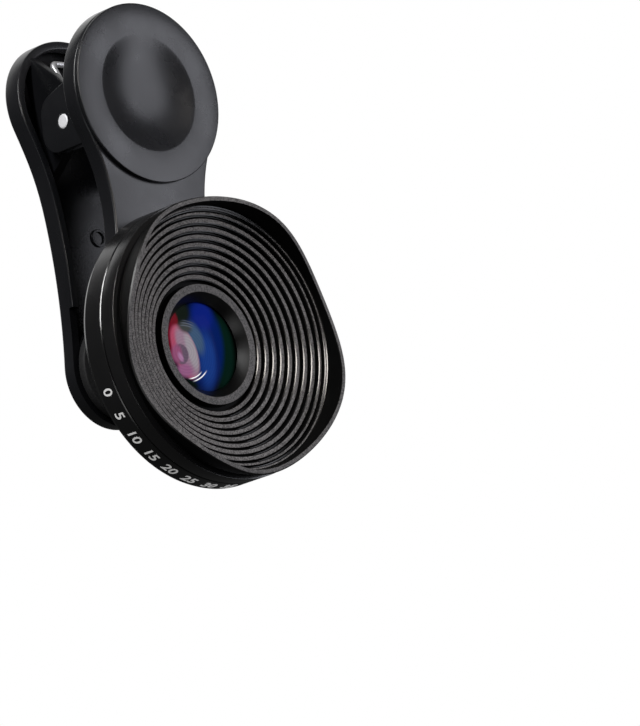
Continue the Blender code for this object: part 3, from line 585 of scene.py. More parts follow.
def hood_finish(settings):
    """Satin black walls, frosted grey treads where the mesh's tread attribute is 1, and dead black where it is -1."""
    material, tree, shader = new_material("hood_finish", 0.4, IOR=1.5)
    tread = add(tree, "ShaderNodeAttribute", {"attribute_name": "tread"}).outputs["Fac"]
    fleck, frost_height = place_group(tree, frost)
    lathe = place_group(tree, lathe_lines, Density=5000.0)
    frosted = blended(tree, fleck, rgba(settings.tread, 0.38), rgba(settings.tread, 1.8))
    feed(tree, shader["Base Color"], blended(tree, tread, rgba(settings.hood), frosted))
    feed(tree, shader["Roughness"], ramp(tree, maths(tree, "ABSOLUTE", tread), 0.0, 1.0, 0.2, 0.8, smooth=False))
    height = plus(tree, times(tree, frost_height, tread), times(tree, lathe["Height"], 0.15))
    relief(tree, shader, height, 0.5, 0.012)
    return material


def hood_wall_finish(settings):
    """The dead black walls inside and outside the rim."""
    material, tree, shader = new_material("hood_wall_finish", 0.45, IOR=1.5, Specular_IOR_Level=0.05)
    lathe = place_group(tree, lathe_lines, Density=5000.0)
    shaded(tree, shader, lathe["Smudge"], settings.hood, 0.5, 0.9)
    relief(tree, shader, lathe["Height"], 0.3, 0.003)
    return material


def paint_finish(settings):
    """Matt paint of the scale, with a faint glow added as painted light."""
    material, tree, shader = new_material("paint_finish", 0.5, Emission_Color=rgba(settings.paint),
                                          Emission_Strength=0.25)
    grain = place_group(tree, mould_grain, Size=0.6)
    shaded(tree, shader, grain["Speck"], settings.paint, 0.85, 1.0)
    return material


def glass_finish():
    """The coated front element: layered soft spots of the coating's reflected colours, faint rings about the reflected
    disc, and thin bright arcs at its edge that glow, all painted reflections and highlights, over near-black glass."""
    material, tree, shader = new_material("glass_finish", 0.08, IOR=1.5, Specular_IOR_Level=0.006,
                                          Emission_Color=(1.0, 1.0, 1.0, 1.0))
    # Painted reflections: each spot paints a reflected colour onto the glass.
    reflection_spots = (
        # colour, then X, Z, Wide, High, Lean, Soft
        ((0.003, 0.018, 0.012), 3.7, -0.6, 1.9, 5.4, 0.05, 0.8),
        ((0.003, 0.018, 0.15), 0.05, 0.05, 3.4, 6.2, 0.08, 0.4),
        ((0.006, 0.020, 0.26), 0.5, 4.2, 1.8, 2.2, 0.17, 0.9),
        ((0.012, 0.060, 0.33), 0.3, -1.85, 1.4, 3.6, 0.0, 0.9),
        ((0.07, 0.14, 0.26), -1.3, 0.95, 1.1, 2.0, -0.2, 0.9),
        ((0.010, 0.016, 0.012), -3.1, 4.5, 1.5, 1.5, 0.17, 0.8),
        ((0.20, 0.014, 0.025), -5.0, 3.3, 1.15, 1.8, 0.1, 0.35),
        ((0.20, 0.008, 0.025), -5.6, 1.0, 0.9, 3.0, 0.0, 0.4),
        ((0.003, 0.009, 0.006), -2.9, -5.6, 1.4, 1.0, 0.0, 0.8),
        ((0.62, 0.11, 0.21), -3.42, -0.88, 1.86, 3.59, -0.23, 0.2),
        ((0.45, 0.30, 0.41), -3.0, -0.93, 1.45, 3.31, -0.27, 0.4),
        ((0.50, 0.46, 0.52), -2.35, -0.8, 0.75, 2.4, -0.24, 0.7),
        ((0.07, 0.08, 0.08), -2.9, 2.45, 1.0, 0.75, -0.2, 1.0),
        ((0.46, 0.18, 0.37), -3.6, -3.4, 1.2, 0.9, -0.2, 0.9),
        ((0.20, 0.14, 0.21), -4.1, -1.27, 1.15, 1.38, -0.02, 0.2),
        ((0.44, 0.13, 0.28), -4.75, -1.2, 0.75, 1.24, 0.02, 0.9),
        ((0.60, 0.30, 0.55), -4.2, -1.65, 0.35, 0.6, -0.35, 1.0),
    )
    bright = (0.9, 0.93, 1.0)
    # Painted reflections along circles: the two bright arcs are painted highlights.
    reflection_arcs = (
        # colour, then X, Z and radius of the circle, and X, Z and radius of the stretch that shows
        (bright, -3.18, -1.45, 3.07, -1.9, -4.25, 0.95),
        (bright, -3.33, -0.81, 4.16, -1.1, -4.25, 1.1),
        ((0.16, 0.19, 0.25), -3.2, -1.0, 3.70, -2.6, 2.7, 0.9),
        ((0.16, 0.19, 0.25), -3.2, -1.0, 4.05, -2.4, 2.9, 0.9),
        ((0.09, 0.11, 0.16), -3.2, -1.0, 4.40, -2.2, 3.1, 0.9),
    )
    arc_width, ring_turns = 0.13, 16.0

    def spot(x, z, wide=1.0, high=1.0, lean=0.0, soft=0.2):
        return place_group(tree, soft_spot, X=x, Z=z, Wide=wide, High=high, Lean=lean, Soft=soft)

    colour = rgba((0.0012, 0.0022, 0.0016))
    for tint, *place in reflection_spots:
        colour = blended(tree, spot(*place)["Mask"], colour, rgba(tint))
    # Faint painted reflection rings about the reflected disc.
    reflection_rings = maths(tree, "SINE", times(tree, spot(-3.3, -0.9)["Distance"], ring_turns))
    near = spot(-1.2, -1.5, 4.2, 4.2, soft=1.0)["Mask"]
    reflection_rings = times(tree, ramp(tree, reflection_rings, -1.0, 1.0, 0.0, 0.2), near)
    colour = blended(tree, reflection_rings, colour, rgba((0.35, 0.4, 0.45)), "MULTIPLY")
    # The bright arcs also glow, as painted highlights.
    glint = 0.0
    for tint, x, z, radius, near_x, near_z, reach in reflection_arcs:
        gap = maths(tree, "SUBTRACT", spot(x, z, radius, radius)["Distance"], 1.0)
        line = ramp(tree, maths(tree, "ABSOLUTE", gap), 0.0, arc_width / radius, 1.0, 0.0)
        line = times(tree, line, spot(near_x, near_z, reach, reach, soft=0.9)["Mask"])
        colour = blended(tree, line, colour, rgba(tint))
        if tint is bright:
            glint = plus(tree, glint, line)
    feed(tree, shader["Base Color"], colour)
    feed(tree, shader["Emission Strength"], times(tree, glint, 0.5))
    return material


def finish(make, *settings):
    """The material with its maker's name, made the first time."""
    return bpy.data.materials.get(make.__name__) or make(*settings)


def dress(obj, material, body, nodes=()):
    """Gives a new piece its material and its body, and hides the imported nodes that it stands for."""
    obj.data.materials.clear()
    obj.data.materials.append(material)
    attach(obj, body)
    if nodes:
        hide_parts(*nodes)


def points_of(obj):
    """The x, y and z of the piece's points in millimetres."""
    points = np.empty(len(obj.data.vertices) * 3)
    obj.data.vertices.foreach_get("co", points)
    return points.reshape(-1, 3).T / MM


def mark_treads(obj, value):
    """Keeps a number for each point, which hood_finish reads."""
    attribute = obj.data.attributes.new("tread", "FLOAT", "POINT")
    attribute.data.foreach_set("value", value.astype(np.float32))


def dress_faces(obj, material, chosen):
    """Gives a second material to each face whose corner points are all chosen."""
    obj.data.materials.append(material)
    loops, starts = np.empty(len(obj.data.loops), int), np.empty(len(obj.data.polygons), int)
    obj.data.loops.foreach_get("vertex_index", loops)
    obj.data.polygons.foreach_get("loop_start", starts)
    obj.data.polygons.foreach_set("material_index", np.minimum.reduceat(chosen[loops].astype(np.int32), starts))


def dress_node(node, material):
    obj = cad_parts[node]
    obj.data.materials.clear()
    obj.data.materials.append(material)


# ---------------------------------------------------------------- clip

def rear_bend(z):
    """How far the rear arm has bent back at a height: nothing, then a parabola, then a straight slope."""
    above = z - BEND_Z
    turn = tan(BEND) * (above + BEND_SOFT) ** 2 / (4 * BEND_SOFT)
    return np.where(above <= -BEND_SOFT, 0.0, np.where(above >= BEND_SOFT, above * tan(BEND), turn))


def pin_cutter(name):
    """The bore for the hinge pin, through all four lugs."""
    circle = arc((PIN_Y, PIN_Z), PIN_R + 0.08, 0, 2 * pi, 40)[:-1]
    return prism(name, circle, -LUG_OUT - 1, LUG_OUT + 1, "X")


def lug_pair(name, side_view, out):
    """Two lugs of one side view to join on, with their outer faces at -out and out."""
    return [("UNION", prism(name, side_view, side * (out - LUG_THICK), side * out, "X", 0.16)) for side in (-1, 1)]


def thread_wave(h, t):
    """A triangle wave from 0 to 1 along a helix: the distance of h / pitch - t / 2 pi from its nearest half."""
    return np.abs((h / THREAD_PITCH - t / (2 * pi)) % 1.0 - 0.5) * 2


def internal_thread(r, h, t):
    """Where a cutter's wall stands at the bore, moves it to r - 0.17 + 0.3 times the thread's wave."""
    return np.where(np.abs(r - RING_BORE) < 0.2, r - 0.17 + 0.3 * thread_wave(h, t), r), h


class OBJECT_OT_front_arm(bpy.types.Operator):
    """Add the front arm: plate, threaded ring, finger recess and the two outer lugs"""
    bl_idname = "phone_lens.front_arm"
    bl_label = "Front Arm"

    def execute(self, context):
        settings = context.scene.clip_settings
        thick = FRONT_ARM_BACK - FRONT_ARM_FACE
        back_edge = quarter(0.2)[:, ::-1] * (1, -1) + (0, thick)
        outline = waisted_outline(0.0, RING_R, FINGER_Z, FINGER_R, FRONT_WAIST)
        arm = moulded("front_arm_fine", outline, np.concatenate([quarter(settings.edge_round / MM), back_edge]),
                      lambda x, depth, z: (x, FRONT_ARM_FACE + depth, z))
        outer, inner, top, foot = RING_R - 0.3, RING_BORE - 0.6, FRONT_ARM_FACE - RING_FACE, -1.2
        boss = turned("ring_boss", rounded([(outer, top, 0.15), (outer, foot), (inner, foot), (inner, top)]),
                      192, y=FRONT_ARM_FACE)
        rows, clear = 60, 3.0
        bore = turned("ring_bore", np.concatenate([
            [(0.0, 2 * clear), (RING_BORE + 6.3, top + 2 * clear), (RING_BORE + 0.32, top + 0.02)],
            np.stack([np.full(rows, RING_BORE), np.linspace(top - 0.3, 0.25 - thick, rows)], 1),
            [(RING_BORE + 0.25, -thick), (RING_BORE + 0.25 + clear, -thick - clear), (0.0, -thick - clear)],
        ]), 144, y=FRONT_ARM_FACE, change=internal_thread)
        recess_r, recess_depth = 11.3, 1.4
        recess = turned("cap_recess", [(0.0, 2.0), (recess_r, 2.0), (recess_r, -recess_depth), (0.0, -recess_depth)],
                        144, (0.0, FINGER_Z), FRONT_ARM_FACE)
        wall, low, high, depth = 1.7, 15.4, 26.5, 1.2
        inside = outline[: len(outline) // 2 + 1]
        inside = np.stack([inside[:, 0] - inside[:, 2] * wall, inside[:, 1]], 1)
        inside = inside[(inside[:, 1] >= low) & (inside[:, 1] <= high)]
        pocket = prism("waist_pocket", np.concatenate([inside, inside[::-1] * (-1, 1)]),
                       FRONT_ARM_BACK - depth, FRONT_ARM_BACK + depth, "Y", 0.25)
        tools = [("UNION", boss)]
        root, corner = FRONT_ARM_BACK - 0.5, 3.0
        side_view = np.concatenate([
            [(root, PIN_Z - 4.0)], arc((PIN_Y + 1.3, PIN_Z - 1.0), corner, -pi / 2, 0, 14),
            arc((PIN_Y + 1.3, PIN_Z + 1.4), corner, 0, radians(62), 12), [(root, PIN_Z + 6.6)],
        ])
        tools += lug_pair("front_lug", side_view, LUG_OUT)
        tools += [("DIFFERENCE", bore), ("DIFFERENCE", recess), ("DIFFERENCE", pocket),
                  ("DIFFERENCE", pin_cutter("pin_bore"))]
        shaped(arm, tools)
        dress(arm, finish(clip_finish, settings), "front_clip", ["front_arm"])
        return {"FINISHED"}


def soft_dish(radius, depth, top, steps=48):
    """A dish's section: at a share s of its radius it lies depth (1 - s^2.8)^1.3 below the top."""
    share = np.linspace(0, 1, steps)
    return np.stack([radius * share, top - depth * (1 - share**2.8) ** 1.3], 1)


class OBJECT_OT_finger_cap(bpy.types.Operator):
    """Add the dished cap of the front finger end"""
    bl_idname = "phone_lens.finger_cap"
    bl_label = "Finger Cap"

    def execute(self, context):
        settings = context.scene.clip_settings
        proud = FRONT_ARM_FACE - CAP_FACE
        dish_r, dish_depth, spigot_r, spigot_h = 8.3, 1.2, 11.05, -1.15
        rim = rounded([
            (dish_r + 0.3, proud), (FINGER_R, proud, 0.14), (FINGER_R, 0.25, 0.06), (spigot_r, 0.25),
            (spigot_r, spigot_h), (0.0, spigot_h),
        ])
        cap = turned("front_finger_cap_fine", np.concatenate([soft_dish(dish_r, dish_depth, proud), rim[1:]]), 288,
                     (0.0, FINGER_Z), FRONT_ARM_FACE)
        dress(cap, finish(clip_finish, settings), "front_clip", ["front_finger_cap"])
        return {"FINISHED"}


class OBJECT_OT_jaw_pads(bpy.types.Operator):
    """Add the soft ring pad of the front jaw and the soft pad of the rear jaw"""
    bl_idname = "phone_lens.jaw_pads"
    bl_label = "Jaw Pads"

    def execute(self, context):
        settings = context.scene.clip_settings
        rubber = finish(rubber_finish, settings)
        outer, inner, edge = RING_R - 0.4, RING_BORE + 0.4, 0.2
        ring = turned("front_jaw_pad_fine", rounded([
            (outer, FRONT_PAD_BACK), (outer, 0.0, edge), (inner, 0.0, edge), (inner, FRONT_PAD_BACK),
        ]), 192)
        dress(ring, rubber, "front_clip", ["front_jaw_pad"])
        radius, straight = JAW_R - 0.6, 5.0
        turn = atan2(straight, sqrt(radius**2 - straight**2))
        outline = arc((0.0, JAW_Z), radius, pi - turn, 2 * pi + turn, 72)
        pad = prism("rear_jaw_pad_fine", outline, REAR_PAD_FACE, REAR_PAD_BACK, "Y", edge)
        tidy_mesh(pad.data)
        dress(pad, rubber, "rear_clip", ["rear_jaw_pad"])
        return {"FINISHED"}


class OBJECT_OT_rear_arm(bpy.types.Operator):
    """Add the rear arm: a bent tray with a pad seat, a finger dish and the two inner lugs"""
    bl_idname = "phone_lens.rear_arm"
    bl_label = "Rear Arm"

    def execute(self, context):
        settings = context.scene.clip_settings
        rim = rounded([
            (REAR_WALL, REAR_FLOOR, 0.4), (REAR_WALL, REAR_DEPTH, 0.2), (0.0, REAR_DEPTH, 0.2), (0.0, 0.0),
        ])[:-1][::-1]
        outline = waisted_outline(JAW_Z, JAW_R, REAR_Z, REAR_R, REAR_WAIST, 44)
        arm = moulded("rear_arm_fine", outline, np.concatenate([quarter(0.5), rim]),
                      lambda x, depth, z: (x, REAR_BACK + rear_bend(z) - depth, z))
        seat_r, seat_foot = JAW_R - 0.6, 0.6
        seat = turned("jaw_seat", [(0.0, JAW_DEPTH), (seat_r, JAW_DEPTH), (seat_r, seat_foot), (0.0, seat_foot)],
                      144, (0.0, JAW_Z), REAR_BACK)
        low, apex, lug_r = PIN_Z - 7.0, PIN_Z + 11.6, 3.1
        floor, edge = REAR_BACK - REAR_FLOOR + 0.5, REAR_BACK - REAR_DEPTH
        side_view = np.concatenate([
            [(floor + rear_bend(low), low)],
            arc((PIN_Y, PIN_Z), lug_r, radians(300), radians(125), 30),
            [(PIN_Y + 3.0, PIN_Z + 7.5), (edge + 0.5 + rear_bend(apex), apex), (floor + rear_bend(apex), apex),
             (floor + rear_bend(REAR_Z), REAR_Z)],
        ])
        tools = [("UNION", seat), *lug_pair("rear_lug", side_view, REAR_LUG_OUT)]
        side, foot, ledge = 20.0, JAW_Z - 20.0, JAW_Z + JAW_R + 0.9
        square = [(-side, foot), (side, foot), (side, ledge), (-side, ledge)]
        tools.append(("DIFFERENCE", prism("jaw_clearing", square, REAR_BACK - 6.0, REAR_BACK - JAW_DEPTH, "Y")))
        dish_r, dish_depth, clear = 6.6, 0.5, -6.0
        bowl = np.stack(cap_curve(dish_r, dish_depth, 16), 1)
        dish = turned("finger_dish", np.concatenate([bowl, [(dish_r, clear), (0.0, clear)]]), 144)
        dish.data.transform(Matrix.Translation((0.0, (REAR_BACK + float(rear_bend(REAR_Z))) * MM, REAR_Z * MM))
                            @ Matrix.Rotation(-BEND, 4, "X"))
        tools += [("DIFFERENCE", dish), ("DIFFERENCE", pin_cutter("pin_bore"))]
        shaped(arm, tools)
        dress(arm, finish(clip_finish, settings), "rear_clip", ["rear_arm"])
        x, y, z = points_of(arm)
        depth = REAR_BACK + rear_bend(z) - y
        in_lug = np.abs(np.abs(x) - REAR_LUG_OUT + LUG_THICK / 2) < LUG_THICK / 2 + 0.02
        in_lug &= (z > low - 0.1) & (z < apex + 0.1)
        # Painted shade: the channel's floor and walls and the inner lugs' faces take the darker copy of the plastic.
        dress_faces(arm, finish(clip_painted_shade_finish, settings),
                    (depth > REAR_FLOOR - 0.4) & ((np.abs(depth - REAR_DEPTH) > 0.25) | in_lug))

        outer, inner, foot, top, edge = 1.25, 0.85, -0.1, 0.14, 0.06
        mark = turned("cavity_mark", rounded([
            (outer, foot), (outer, top, edge), (inner, top, edge), (inner, foot),
        ], 3), 72, (0.6, 19.8), REAR_BACK - REAR_FLOOR)
        # The mark on the channel floor takes the same painted shade.
        dress(mark, finish(clip_painted_shade_finish, settings), "rear_clip", ())
        return {"FINISHED"}


class OBJECT_OT_hinge_pin(bpy.types.Operator):
    """Add the steel hinge pin with its rounded ends"""
    bl_idname = "phone_lens.hinge_pin"
    bl_label = "Hinge Pin"

    def execute(self, context):
        settings = context.scene.clip_settings
        section = rounded([(0.0, PIN_END), (PIN_R, PIN_END, 0.25), (PIN_R, -PIN_END, 0.25), (0.0, -PIN_END)], 6)
        r, x = section.T
        t = np.linspace(0, 2 * pi, 64, endpoint=False)
        points = np.stack([np.broadcast_to(x[:, None], (len(x), 64)), PIN_Y + r[:, None] * np.cos(t),
                           PIN_Z + r[:, None] * np.sin(t)], -1)
        pin = mesh_object("hinge_pin_fine", points.reshape(-1, 3), grid_faces(len(x), 64, False, True))
        dress(pin, finish(pin_finish, settings), "front_clip", ["hinge_pin"])
        return {"FINISHED"}


def coil_tangent(y, z, side):
    """The angle on the coil, seen along the pin, where a straight leg from a point touches it."""
    return atan2(z, y) + side * (pi / 2 - atan2(COIL_R, sqrt(y**2 + z**2 - COIL_R**2)))


class OBJECT_OT_torsion_spring(bpy.types.Operator):
    """Add the torsion spring: two coils on the pin, two front legs and a bar behind"""
    bl_idname = "phone_lens.torsion_spring"
    bl_label = "Torsion Spring"

    def execute(self, context):
        settings = context.scene.clip_settings
        front = np.array((FRONT_ARM_BACK + 0.25 + WIRE_R - PIN_Y, 8.6))
        rear_z = PIN_Z + 11.0
        rear = np.array((REAR_BACK + float(rear_bend(rear_z)) - REAR_FLOOR - 0.25 - 1.2 * WIRE_R - PIN_Y, 11.0))
        start, end = coil_tangent(*front, 1), coil_tangent(*rear, -1)
        turns = 2 + (end - start) / (2 * pi) % 1
        turned_by = 2 * pi * np.linspace(0, turns, round(settings.wire_turn_steps * turns))
        coil = np.stack([COIL_END - COIL_PITCH * turned_by / (2 * pi), COIL_R * np.cos(start + turned_by),
                         COIL_R * np.sin(start + turned_by)], 1)
        leg = np.linspace([COIL_END, *front], coil[0], 24)[:-1]
        along = np.array((0.0, *(rear - coil[-1, 1:])))
        length = np.linalg.norm(along)
        along /= length
        bend = 0.8
        up = coil[-1] + along * np.linspace(0, length - bend, 24)[1:, None]
        turn = np.linspace(0, pi / 2, 14)[1:, None]
        corner = coil[-1] + along * (length - bend + bend * np.sin(turn)) - (1 - np.cos(turn)) * (bend, 0, 0)
        bar = np.linspace(corner[-1], corner[-1] * (0, 1, 1), 8)[1:]
        half = np.concatenate([leg, coil, up, corner, bar])
        path = np.concatenate([half, half[-2::-1] * (-1, 1, 1)])
        spring = tube("torsion_spring_fine", path + (0, PIN_Y, PIN_Z), WIRE_R, path * (0, 1, 1) + (1e-9, 0, 0))
        spring.data.materials.append(finish(steel_finish, settings))
        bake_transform(spring)
        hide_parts("torsion_spring")
        return {"FINISHED"}


# ---------------------------------------------------------------- lens

def external_thread(r, h, t):
    """Cuts the thread into the mount's wall: r - 0.28 times the thread's wave."""
    on_thread = (np.abs(r - THREAD_R) < 1e-3) & (h < THREAD_START - 0.05) & (h > THREAD_END + 0.05)
    return np.where(on_thread, r - 0.28 * thread_wave(h, t), r), h


class OBJECT_OT_lens_mount(bpy.types.Operator):
    """Add the lens mount: flange, neck and screw thread"""
    bl_idname = "phone_lens.lens_mount"
    bl_label = "Lens Mount"

    def execute(self, context):
        settings = context.scene.lens_settings
        flange_r, neck_r, end, bore_r, stack_r, stack_foot = 17.2, 12.35, -5.0, 5.75, 8.55, -1.45
        section = np.concatenate([
            rounded([
                (flange_r, 1.75), (flange_r, 1.05), (neck_r, 1.05), (neck_r, THREAD_START, 0.12),
                (THREAD_R, THREAD_START),
            ])[:-1],
            np.stack([np.full(70, THREAD_R), np.linspace(THREAD_START - 0.01, THREAD_END, 70)], 1),
            [(THREAD_R - 0.25, end), (bore_r, end), (bore_r, stack_foot), (stack_r, stack_foot), (stack_r, 1.75)],
        ])
        mount = turned("lens_mount_fine", section, 180, y=BARREL_BACK, change=external_thread)
        dress(mount, finish(barrel_finish, settings), "lens", ["lens_mount"])
        return {"FINISHED"}


def number_mesh(text, size):
    """A number as raised flat lettering: points as (along, up, out) about its foot's middle, and faces."""
    curve = bpy.data.curves.new("number", "FONT")
    curve.body, curve.size, curve.align_x, curve.offset = text, size, "CENTER", 0.025
    curve.extrude, curve.resolution_u = 0.05, 4
    helper = bpy.data.objects.new("number", curve)
    bpy.context.scene.collection.objects.link(helper)
    mesh = bpy.data.meshes.new_from_object(helper.evaluated_get(bpy.context.evaluated_depsgraph_get()))
    points = np.empty(len(mesh.vertices) * 3)
    mesh.vertices.foreach_get("co", points)
    faces = [list(polygon.vertices) for polygon in mesh.polygons]
    bpy.data.objects.remove(helper, do_unlink=True)
    bpy.data.meshes.remove(mesh)
    return points.reshape(-1, 3), faces


def scale_marks(count):
    """A row of numbers wrapped round the rear ring: a point (along, up, out) lands at angle t0 + along / R,
    radius R + out and height up."""
    point_sets, faces, start = [], [], 0
    for index, angle in enumerate(radians(-68) + radians(73) * np.arange(count) / (count - 1)):
        local, local_faces = number_mesh(str(index * 5), 2.25)
        t = angle + local[:, 0] / BARREL_R
        radius = BARREL_R - 0.015 + local[:, 2]
        point_sets.append(np.stack([radius * np.sin(t), BARREL_BACK - 1.15 - local[:, 1], -radius * np.cos(t)], 1))
        faces += [[start + corner for corner in face] for face in local_faces]
        start += len(local)
    return mesh_object("scale_marks", np.concatenate(point_sets), faces)


class OBJECT_OT_barrel_rings(bpy.types.Operator):
    """Add the two barrel rings and the painted scale on the rear one"""
    bl_idname = "phone_lens.barrel_rings"
    bl_label = "Barrel Rings"

    def execute(self, context):
        settings = context.scene.lens_settings
        metal = finish(barrel_finish, settings)
        steps = settings.round_steps
        bore, seam, foot = BARREL_R - 1.55, 3.6, 12.6
        rear = turned("rear_barrel_fine", rounded([
            (BARREL_R - 0.08, seam), (BARREL_R, seam - 0.123), (BARREL_R, 0.5, 0.2), (BARREL_R - 0.2, 0.0, 0.1),
            (foot, 0.0), (foot, 0.8), (bore, 0.8), (bore, seam),
        ], 6), steps, y=BARREL_BACK)
        dress(rear, metal, "lens", ["rear_barrel"])
        start, end, lip, stop = 3.85, 6.1, 2.55, 4.4
        front = turned("front_barrel_fine", rounded([
            (BARREL_R, end, 0.06), (BARREL_R, start, 0.06), (bore - 0.25, start), (bore - 0.25, lip),
            (bore - 1.4, lip), (bore - 1.4, stop), (bore, stop), (bore, end),
        ], 6), steps, y=BARREL_BACK)
        dress(front, metal, "lens", ["front_barrel"])

        marks = scale_marks(settings.mark_count)
        dress(marks, finish(paint_finish, settings), "lens")
        return {"FINISHED"}


def rib_profile(inner, first, count, pitch, rise, chamfer, groove, narrow):
    """The stepped ribs from the inside out: a riser, a shallow chamfer, a flat tread, and a dark groove at the
    foot of the next riser. The outermost rib is only as wide as narrow."""
    rib = np.arange(count)[:, None]
    wide = np.where(rib == count - 1, narrow, pitch)
    across = wide * [0, 0, 0, 1, 1, 1, 1] + [0.0, chamfer - 0.01, chamfer, -groove, 0.02 - groove, -0.05, 0.0]
    up = np.array([-0.51 * chamfer, -0.0051, 0.0, 0.0, -0.03, -0.6 * groove, -0.6 * groove])
    corners = np.stack([inner + pitch * rib + across, first + rise * rib + up], -1).reshape(-1, 2)
    return [tuple(corner) for corner in corners]


class OBJECT_OT_petal_hood(bpy.types.Operator):
    """Add the petal hood with its stepped ribs"""
    bl_idname = "phone_lens.petal_hood"
    bl_label = "Petal Hood"

    def execute(self, context):
        settings = context.scene.lens_settings
        flange, flange_r, spigot, spigot_foot = 6.35, 18.1, BARREL_R - 1.8, 4.65
        inner, first, count, pitch, rise, narrow = 8.95, 3.0, 9, 0.985, 0.442, 0.76
        rim_r, rim, wall_r, lip_r, throat_r = 18.95, 8.9, 17.7, 9.7, 8.36
        ledge, ledge_h = inner + pitch * (count - 1) + narrow, first + rise * (count - 1) + 0.34
        section = rounded([
            (rim_r - 0.15, rim, 0.05), (rim_r, rim - 0.23, 0.05), (rim_r - 0.45, ledge_h, 0.3),
            (flange_r, flange + 0.2, 0.1), (flange_r, flange), (spigot, flange), (spigot, spigot_foot),
            (spigot - 1.5, spigot_foot), (lip_r, first - 0.9), (throat_r, first - 0.9), (throat_r, first - 0.78),
            (inner, first - 0.78),
            *rib_profile(inner, first, count, pitch, rise, 0.14, 0.36, narrow),
            (ledge, ledge_h - 0.06), (ledge + 0.11, ledge_h - 0.005), (ledge + 0.12, ledge_h),
            (ledge + 0.3, ledge_h), (ledge + 0.31, ledge_h + 0.005), (ledge + 0.43, ledge_h + 0.066),
            (rim_r - 0.7, rim, 0.08),
        ], 5)

        def petals(r, h, t):
            """Lifts the rim by the petal height x cos(4 (t - petal turn)), in full there and less down each wall."""
            foot = np.where(r >= flange_r - 0.05, ledge_h, ledge_h + 0.07)
            share = np.clip((h - foot) / (rim - 0.3 - foot), 0, 1) * (r > wall_r)
            wave = settings.petal_height / MM * np.cos(4 * (t - settings.petal_turn))
            return r, h + share * wave

        hood = turned("petal_hood_fine", section, settings.round_steps, y=BARREL_BACK, change=petals)
        x, y, z = points_of(hood)
        r, h = np.hypot(x, z), BARREL_BACK - y
        # Treads are 1: the ribs' flat tops past their chamfers, and the ledge at the wall's foot. The rim's top is
        # 0.7. The throat's wall is -1, which comes out matt black, and the rim's outer edge -0.3, which is satin.
        level = first + rise * np.floor((r - inner + 0.02) / pitch)
        across = (r - inner + 1e-4) % pitch
        tread = (np.abs(h - level) < 0.02) & (across > 0.135) & (r < ledge - 0.01)
        tread |= (np.abs(h - ledge_h) < 0.002) & (r > ledge + 0.115) & (r < ledge + 0.305)
        tread = np.where((r < inner + 0.001) & (h < first - 0.2), -1.0, tread * 1.0)
        top = rim + settings.petal_height / MM * np.cos(4 * (np.arctan2(x, -z) - settings.petal_turn))
        tread = np.where((np.abs(h - top) < 0.012) & (r > rim_r - 0.66) & (r < rim_r - 0.14), 0.7, tread)
        tread = np.where((r > rim_r - 0.3) & (h > 5.0) & (tread == 0), -0.3, tread)
        mark_treads(hood, tread)
        dress(hood, finish(hood_finish, settings), "lens", ["petal_hood"])
        inside = (r < rim_r - 0.6) & (tread <= 0) & ((r > ledge + 0.425) | (r < inner + 0.001))
        outside = (r > flange_r - 0.1) & (h < top - 0.2)
        dress_faces(hood, finish(hood_wall_finish, settings), inside | outside)
        return {"FINISHED"}


class OBJECT_OT_optics(bpy.types.Operator):
    """Add the bezel and the glasses, and finish the rings between them"""
    bl_idname = "phone_lens.optics"
    bl_label = "Bezel and Glass"

    def execute(self, context):
        settings = context.scene.lens_settings
        metal = finish(barrel_finish, settings)
        glass = finish(glass_finish)
        outer, mouth, throat, face, foot = 8.3, 7.2, 6.05, 3.4, 2.05
        bezel = turned("front_bezel_fine", rounded([
            (outer, face, 0.12), (outer, foot), (throat, foot, 0.05), (mouth, face, 0.1),
        ], 5), 192, y=BARREL_BACK)
        x, y, z = points_of(bezel)
        mark_treads(bezel, np.where(BARREL_BACK - y > face - 0.02, 0.6,
                                    np.where(np.hypot(x, z) < mouth + 0.1, -0.3, 0.0)))
        dress(bezel, finish(hood_finish, settings), "lens", ["front_bezel"])

        glass_r, glass_h = 6.2, 1.8
        r, bulge = cap_curve(glass_r, 0.75, 40)
        front = turned("front_glass_fine", np.concatenate([
            np.stack([r, glass_h + bulge], 1), [(glass_r, 0.4), (5.4, 0.4), (0.0, 0.9)],
        ]), 192, y=BARREL_BACK)
        dress(front, glass, "lens", ["front_glass"])
        for node in ("lens_cell", "front_spacer", "rear_spacer", "rear_retaining_ring", "barrel_spacer"):
            dress_node(node, metal)
        for node in ("middle_glass", "rear_glass"):
            dress_node(node, glass)
        return {"FINISHED"}


# ---------------------------------------------------------------- stage

